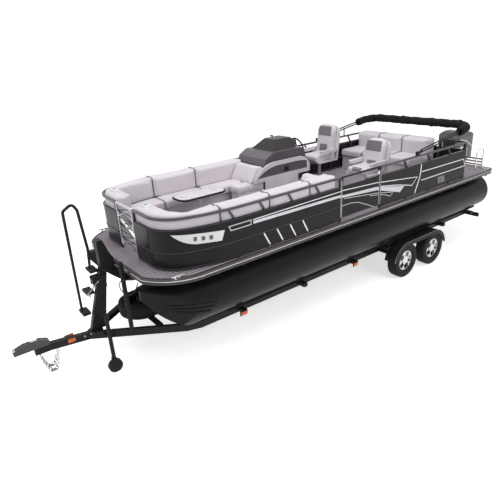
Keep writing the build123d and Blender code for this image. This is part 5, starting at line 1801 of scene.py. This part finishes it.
@dataclass
class Bimini:
    """The folded top's canvas boot, with its gathers and straps."""

    voxel: float = 0.016
    ripple: float = 0.007
    fill: float = 0.4
    strap_x: tuple[float, float] = (0.35, 0.95)
    strap_width: float = 0.03
    strap_wall: float = 0.003

    def build(self) -> None:
        """Rumples the boot and wraps its straps."""
        boot = copy_node("bimini_boot", "bimini_canvas")
        modify(boot, "REMESH", mode="VOXEL", voxel_size=self.voxel, adaptivity=0.0)
        places = []
        for place, normal in points_of(boot):
            along = place.x * 21 + place.y * 17
            wave = math.sin(along + 3.1 * math.sin(place.z * 34))
            wave += 0.6 * math.sin(2.3 * along + 5 * place.y + 1)
            places.append(place + normal * self.ripple * 0.5 * wave)
        place_points(boot, places)
        modify(boot, "SUBSURF", levels=1, render_levels=1)
        keep(boot, Finishes.canvas, "bimini", 180.0)
        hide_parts("bimini_boot")
        straps = [self.strap(side.value * x) for side in Side for x in self.strap_x]
        keep(join("bimini_straps", straps), Finishes.frame, "bimini")

    def strap(self, x: float) -> Piece:
        """Wraps one webbing strap round the boot.

        Args:
            x: Where it lies across the boat.

        Returns:
            The strap.
        """
        loops = section("bimini_boot", "strap", (x, 0, 0), (1, 0, 0))
        scrap(loops[1:])
        band = loops[0]
        with editing(band):
            bpy.ops.mesh.extrude_edges_move(TRANSFORM_OT_translate={"value": (self.strap_width, 0, 0)})
            bpy.ops.mesh.select_all(action="SELECT")
            bpy.ops.mesh.normals_make_consistent(inside=False)
        modify(band, "DISPLACE", strength=self.ripple, mid_level=0.0)
        modify(band, "SOLIDIFY", thickness=self.strap_wall, offset=1.0)
        return band


# Bow gate


@dataclass
class BowGate:
    """The fretwork of thin bars behind the bow gate's frame."""

    bar: float = 0.006
    rows: int = 6
    setback: float = 0.012
    fore_inset: float = 0.035
    aft_inset: float = 0.03
    foot_inset: float = 0.025

    def build(self) -> None:
        """Adds slanted bars that turn back at each row, with a post and a cross bar to each."""
        low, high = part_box("bow_gate")
        y = low[1] + self.setback
        fore_x, aft_x = low[0] + self.fore_inset, high[0] - self.aft_inset
        pitch = (high[2] - low[2] - 2 * self.foot_inset) / self.rows
        bars = []
        for row in range(self.rows):
            foot = low[2] + self.foot_inset + row * pitch
            head = foot + pitch
            start, end = (fore_x, aft_x) if row % 2 else (aft_x, fore_x)
            for route in (
                ((start, y, foot), (end, y, head)),
                ((start, y, foot), (start, y, head)),
                ((fore_x, y, head), (aft_x, y, head)),
            ):
                bars.append(tube("fret", route, self.bar))
        keep(join("bow_gate_fretwork", bars), Finishes.frame, "bow_gate")


# Wheels


@dataclass
class Wheels:
    """The tread, sidewall ribs, hub caps and bolts of the road wheels and the spare.

    Each row of tread blocks is its share of the half width, its width and its turn in blocks.
    """

    radius: float = 0.331
    half: float = 0.1025
    lugs: int = 44
    rows: tuple = ((-0.70, 0.040, 0.0), (-0.23, 0.034, 0.5), (0.23, 0.034, 0.0), (0.70, 0.040, 0.5))
    rib_places: tuple = ((0.292, 0.0998), (0.236, 0.1005))
    rib_steps: int = 48
    rib_radius: float = 0.0028
    cap_radius: float = 0.034
    bolt_count: int = 6
    bolt_circle: float = 0.057
    spare_depth: float = 0.103

    def tread(self, name: str, centre: Point, axis: int) -> Piece:
        """Makes one block of each tread row and copies it round the tyre.

        Args:
            name: The piece's name.
            centre: The middle of the wheel.
            axis: The wheel's axis, 0 for X and 2 for Z.

        Returns:
            The tread ring.
        """
        pieces = []
        for share, width, turn in self.rows:
            low, high = (-width / 2, -0.017, self.radius - 0.009), (width / 2, 0.017, self.radius - 0.0008)
            lug = block("lug", low, high, 0.002, 1)
            for vertex in lug.data.vertices:
                vertex.co.x += share * self.half * 0.92
                vertex.co.y += vertex.co.x * 0.10
                if abs(share) > 0.5:
                    vertex.co.z -= 0.004 * max(0.0, abs(vertex.co.x) - 0.06) / 0.04
            pieces.append((lug, turn))
        rings = []
        for lug, turn in pieces:
            whole = []
            for index in range(self.lugs):
                twin = copy_piece(lug, "lug")
                twin.data.transform(Matrix.Rotation(math.tau * (index + turn) / self.lugs, 4, "X"))
                whole.append(twin)
            rings.append(join("tread_row", whole))
        scrap([lug for lug, _ in pieces])
        ring = join(name, rings)
        if axis == 2:
            ring.data.transform(Matrix.Rotation(math.pi / 2, 4, "Y"))
        ring.data.transform(Matrix.Translation(centre))
        return ring

    def build(self) -> None:
        """Dresses the four road wheels and the spare."""
        for side in Side:
            for place in ("fore", "aft"):
                low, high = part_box(f"tyre_{side.word}_{place}")
                centre = Vector([(a + b) / 2 for a, b in zip(low, high)])
                body = f"wheel_{side.word}_{place}"
                keep(self.tread(f"tread_{side.word}_{place}", centre, 0), Finishes.tyre, body)
                self.face(side, place, centre, body)
        low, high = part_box("spare_wheel")
        spare = Vector(((low[0] + high[0]) / 2, (low[1] + high[1]) / 2, high[2] - self.spare_depth))
        keep(self.tread("tread_spare", spare, 2), Finishes.tyre)

    def face(self, side: Side, place: str, centre: Vector, body: str) -> None:
        """Adds the sidewall ribs, the hub cap and the bolts to one wheel.

        Args:
            side: The side of the trailer.
            place: Fore or aft.
            centre: The wheel's middle.
            body: The wheel's body.
        """
        out, end = side.value, f"{side.word}_{place}"
        ribs = []
        for radius, reach in self.rib_places:
            middle = centre + Vector((out * reach, 0, 0))
            ribs.append(tube("rib", ring_route(middle, radius, self.rib_steps), self.rib_radius, closed=True))
        keep(join(f"sidewall_{end}", ribs), Finishes.tyre, body)
        low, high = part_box(f"rim_{end}")
        hub = Vector((high[0] if side is Side.PORT else low[0], centre.y, centre.z))
        step = Vector((out, 0, 0))
        cap = rod("hub_cap", hub - step * 0.028, hub - step * 0.002, self.cap_radius, 0.008, 28)
        keep(join(f"hub_cap_{end}", [cap]), Finishes.bead, body)
        bolts = [rod("bolt", spot - step * 0.055, spot - step * 0.026, 0.009, 0.002, 6)
                 for spot in ring_route(hub, self.bolt_circle, self.bolt_count)]
        keep(join(f"wheel_bolts_{end}", bolts), Finishes.steel, body)


# Trailer


@dataclass
class Trailer:
    """The trailer's lamps, fender trim, safety chains, winch crank, tongue fittings and rail sleeve.

    Each marker place is its x, y and z, and a lamp's sizes are its half width along X, Y and Z.
    """

    marker_places: tuple = ((1.127, -2.298, 0.628), (1.127, 0.103, 0.628), (0.058, -4.43, 0.602))
    marker_sizes: tuple = (("base", 0.008, 0.060, 0.034), ("amber", 0.016, 0.050, 0.026))
    tail_x: tuple[float, float] = (0.93, 1.10)
    tail_half: float = 0.055
    bead_radius: float = 0.0045
    chain_x: tuple[float, float] = (0.035, 0.040)
    chain_y: tuple[float, float] = (-4.62, -4.84)
    chain_top: float = 0.495
    chain_sag: float = 0.23
    chain_bow: float = 0.03
    links: int = 18
    link_radius: float = 0.013
    link_wire: float = 0.0052
    link_stretch: float = 0.011
    bolt_stations: tuple[float, float] = (-4.25, -4.16)
    cable_radius: float = 0.007
    cable: tuple = (
        (0.62, -3.74, 1.47), (0.50, -3.76, 1.43), (0.42, -3.77, 1.36), (0.43, -3.77, 1.29),
        (0.52, -3.76, 1.25), (0.66, -3.74, 1.27), (0.78, -3.70, 1.36), (0.80, -3.66, 1.47),
    )
    spare: Point = (0.0, -3.345, 0.80)
    spare_nuts: int = 5
    spare_circle: float = 0.043
    sleeve_wall: float = 0.007

    def lamps(self) -> None:
        """Adds the side markers and the tail lamps, on their dark bases."""
        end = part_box("trailer_frame")[1][1]
        cells = {"amber": [], "red": [], "base": []}
        for side in Side:
            for across, y, z in self.marker_places:
                x = side.value * across
                for kind, reach, half_y, half_z in self.marker_sizes:
                    low, high = (x - reach, y - half_y, z - half_z), (x + reach, y + half_y, z + half_z)
                    cells[kind].append(block(kind, low, high, 0.004))
            low_x, high_x = sorted((side.value * 0.78, side.value * 1.16))
            cells["base"].append(
                block("base", (low_x, end - 0.002, 0.495), (high_x, end + 0.028, 0.585), 0.006),
            )
            for across in self.tail_x:
                x = side.value * across
                low, high = (x - self.tail_half, end + 0.022, 0.503), (x + self.tail_half, end + 0.042, 0.577)
                cells["red"].append(block("lens", low, high, 0.008, 3))
        keep(join("marker_lenses", cells["amber"]), Finishes.amber)
        keep(join("tail_lenses", cells["red"]), Finishes.red)
        keep(join("lamp_bases", cells["base"]), Finishes.rubber)

    def fender_trim(self) -> None:
        """Rolls a bright bead along each fender's outer edge."""
        beads = []
        for side in Side:
            x = side.value * (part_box("fenders")[1][0] - 0.0055)
            loops = section("fenders", "fender_bead", (x, 0, 0), (1, 0, 0))
            scrap(loops[1:])
            beads.append(round_off(loops[0], self.bead_radius))
        keep(join("fender_beads", beads), Finishes.zinc)

    def chains(self) -> None:
        """Hangs a loop of safety chain on each side of the tongue, with both its ends under the tongue."""
        for side in Side:
            ends = zip(self.chain_x, self.chain_y)
            start, end = (Vector((side.value * x, y, self.chain_top)) for x, y in ends)
            links = []
            for index in range(self.links):
                share = index / (self.links - 1)
                bow = side.value * self.chain_bow * math.sin(share * math.pi)
                place = start.lerp(end, share) + Vector((bow, 0, -self.chain_sag * 4 * share * (1 - share)))
                slope = math.atan2(-self.chain_sag * 4 * (1 - 2 * share), (end - start).length)
                links.append(self.link(place, slope, index % 2 == 0))
            keep(join(f"safety_chain_{side.word}", links), Finishes.zinc)

    def link(self, place: Vector, slope: float, upright: bool) -> Piece:
        """Makes one chain link.

        Args:
            place: Its middle.
            slope: The chain's slope there, in radians.
            upright: Whether the link stands in the chain's own plane.

        Returns:
            The link.
        """
        bpy.ops.object.select_all(action="DESELECT")
        bpy.ops.mesh.primitive_torus_add(
            major_segments=10, minor_segments=6, major_radius=self.link_radius, minor_radius=self.link_wire,
        )
        link = settle(bpy.context.object, "link")
        for vertex in link.data.vertices:
            vertex.co.y += self.link_stretch if vertex.co.y > 0 else -self.link_stretch
        twist = Matrix.Rotation(math.pi / 2 if upright else 0.0, 4, "Y")
        turn = Matrix.Rotation(slope + math.pi, 4, "X") @ twist
        link.data.transform(Matrix.Translation(place) @ turn)
        return link

    def winch(self) -> None:
        """Fits the crank to the winch's drum."""
        crank = [rod("crank", (0.05, -3.94, 1.33), (0.10, -3.94, 1.33), 0.012),
                 tube("crank", ((0.095, -3.94, 1.33), (0.10, -4.10, 1.20)), 0.009),
                 rod("crank", (0.095, -4.10, 1.20), (0.18, -4.10, 1.20), 0.015, 0.004)]
        keep(join("winch_crank", crank), Finishes.zinc)

    def sleeve(self) -> None:
        """Pulls a thick rubber sleeve over the handrail's tube."""
        piece = copy_node("handrail", "handrail_sleeve")
        modify(piece, "DISPLACE", strength=self.sleeve_wall, mid_level=0.0)
        keep(piece, Finishes.rubber)

    def tongue(self) -> None:
        """Fits the coupler's bright tip and latch, the tongue's bolts, the bow cable and the spare's hub."""
        tip = block("tip", (-0.034, -5.149, 0.668), (0.034, -5.06, 0.722), 0.014, 3)
        latch = block("latch", (-0.016, -4.93, 0.745), (0.016, -4.84, 0.775), 0.006)
        keep(join("coupler_tip", [tip, latch]), Finishes.steel)
        bolts = [
            rod("bolt", (-0.064, y, 0.582), (0.064, y, 0.582), 0.015, 0.004, 6) for y in self.bolt_stations
        ]
        keep(join("tongue_bolts", bolts), Finishes.zinc)
        keep(tube("bow_cable", self.cable, self.cable_radius), Finishes.rubber)
        x, y, z = self.spare
        nuts = [rod("hub", (x, y, z), (x, y, z + 0.037), 0.068, 0.006, 28)]
        for index in range(self.spare_nuts):
            angle = math.tau * index / self.spare_nuts
            nut_x, nut_y = x + self.spare_circle * math.cos(angle), y + self.spare_circle * math.sin(angle)
            nuts.append(rod("nut", (nut_x, nut_y, z + 0.03), (nut_x, nut_y, z + 0.048), 0.010, 0.002, 6))
        keep(join("spare_hub", nuts), Finishes.forged)

    def build(self) -> None:
        """Fits everything."""
        self.lamps()
        self.fender_trim()
        self.chains()
        self.winch()
        self.sleeve()
        self.tongue()


# Engine


@dataclass
class Engine:
    """The outboard's bright strips along the cowl, which paint in the highlights that the cowl catches."""

    strip_width: float = 0.016
    strip_inset: float = 0.002
    strip_wall: float = 0.004

    def build(self) -> None:
        """Adds bright metal strips along both sides of the cowl as painted highlights."""
        low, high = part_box("engine_cowl")
        route = ((low[1] + 0.16, 1.98), (low[1] + 0.40, 1.93), (high[1] - 0.11, 1.76))
        strips = []
        for side in Side:
            x = side.value * (high[0] - self.strip_inset)
            outline = [(x, y, z) for y, z in ribbon(route, self.strip_width)]
            # Painted highlight: bright metal laid where the cowl's sides catch the light.
            strips.append(plate("painted_highlight", outline, (side.value * self.strip_wall, 0, 0), 0.001))
        keep(join("cowl_accents", strips), Finishes.bead, "engine")


def dress_nodes() -> None:
    """Gives every CAD node its finish."""
    for name, node in frame["nodes"].items():
        paint(node, finish_for(name))


def main() -> None:
    """Builds the studio and every sub-assembly."""
    logging.basicConfig(level=logging.INFO)
    studio = Studio()
    studio.place_camera()
    studio.light()
    studio.floor()
    dress_nodes()
    padding = Padding()
    lounges = Lounges(padding)
    lounges.build()
    chairs = Chairs(padding)
    chairs.build()
    padding.run()
    lounges.press_rolls()
    chairs.dress()
    for side in Side:
        SideGraphics(side).build()
    trims = (
        FenceTrim(), DeckTrim(), Helm(), Table(), Bimini(), BowGate(), Wheels(), Trailer(), Engine(),
    )
    for assembly in trims:
        assembly.build()


if __name__ == "__main__":
    main()
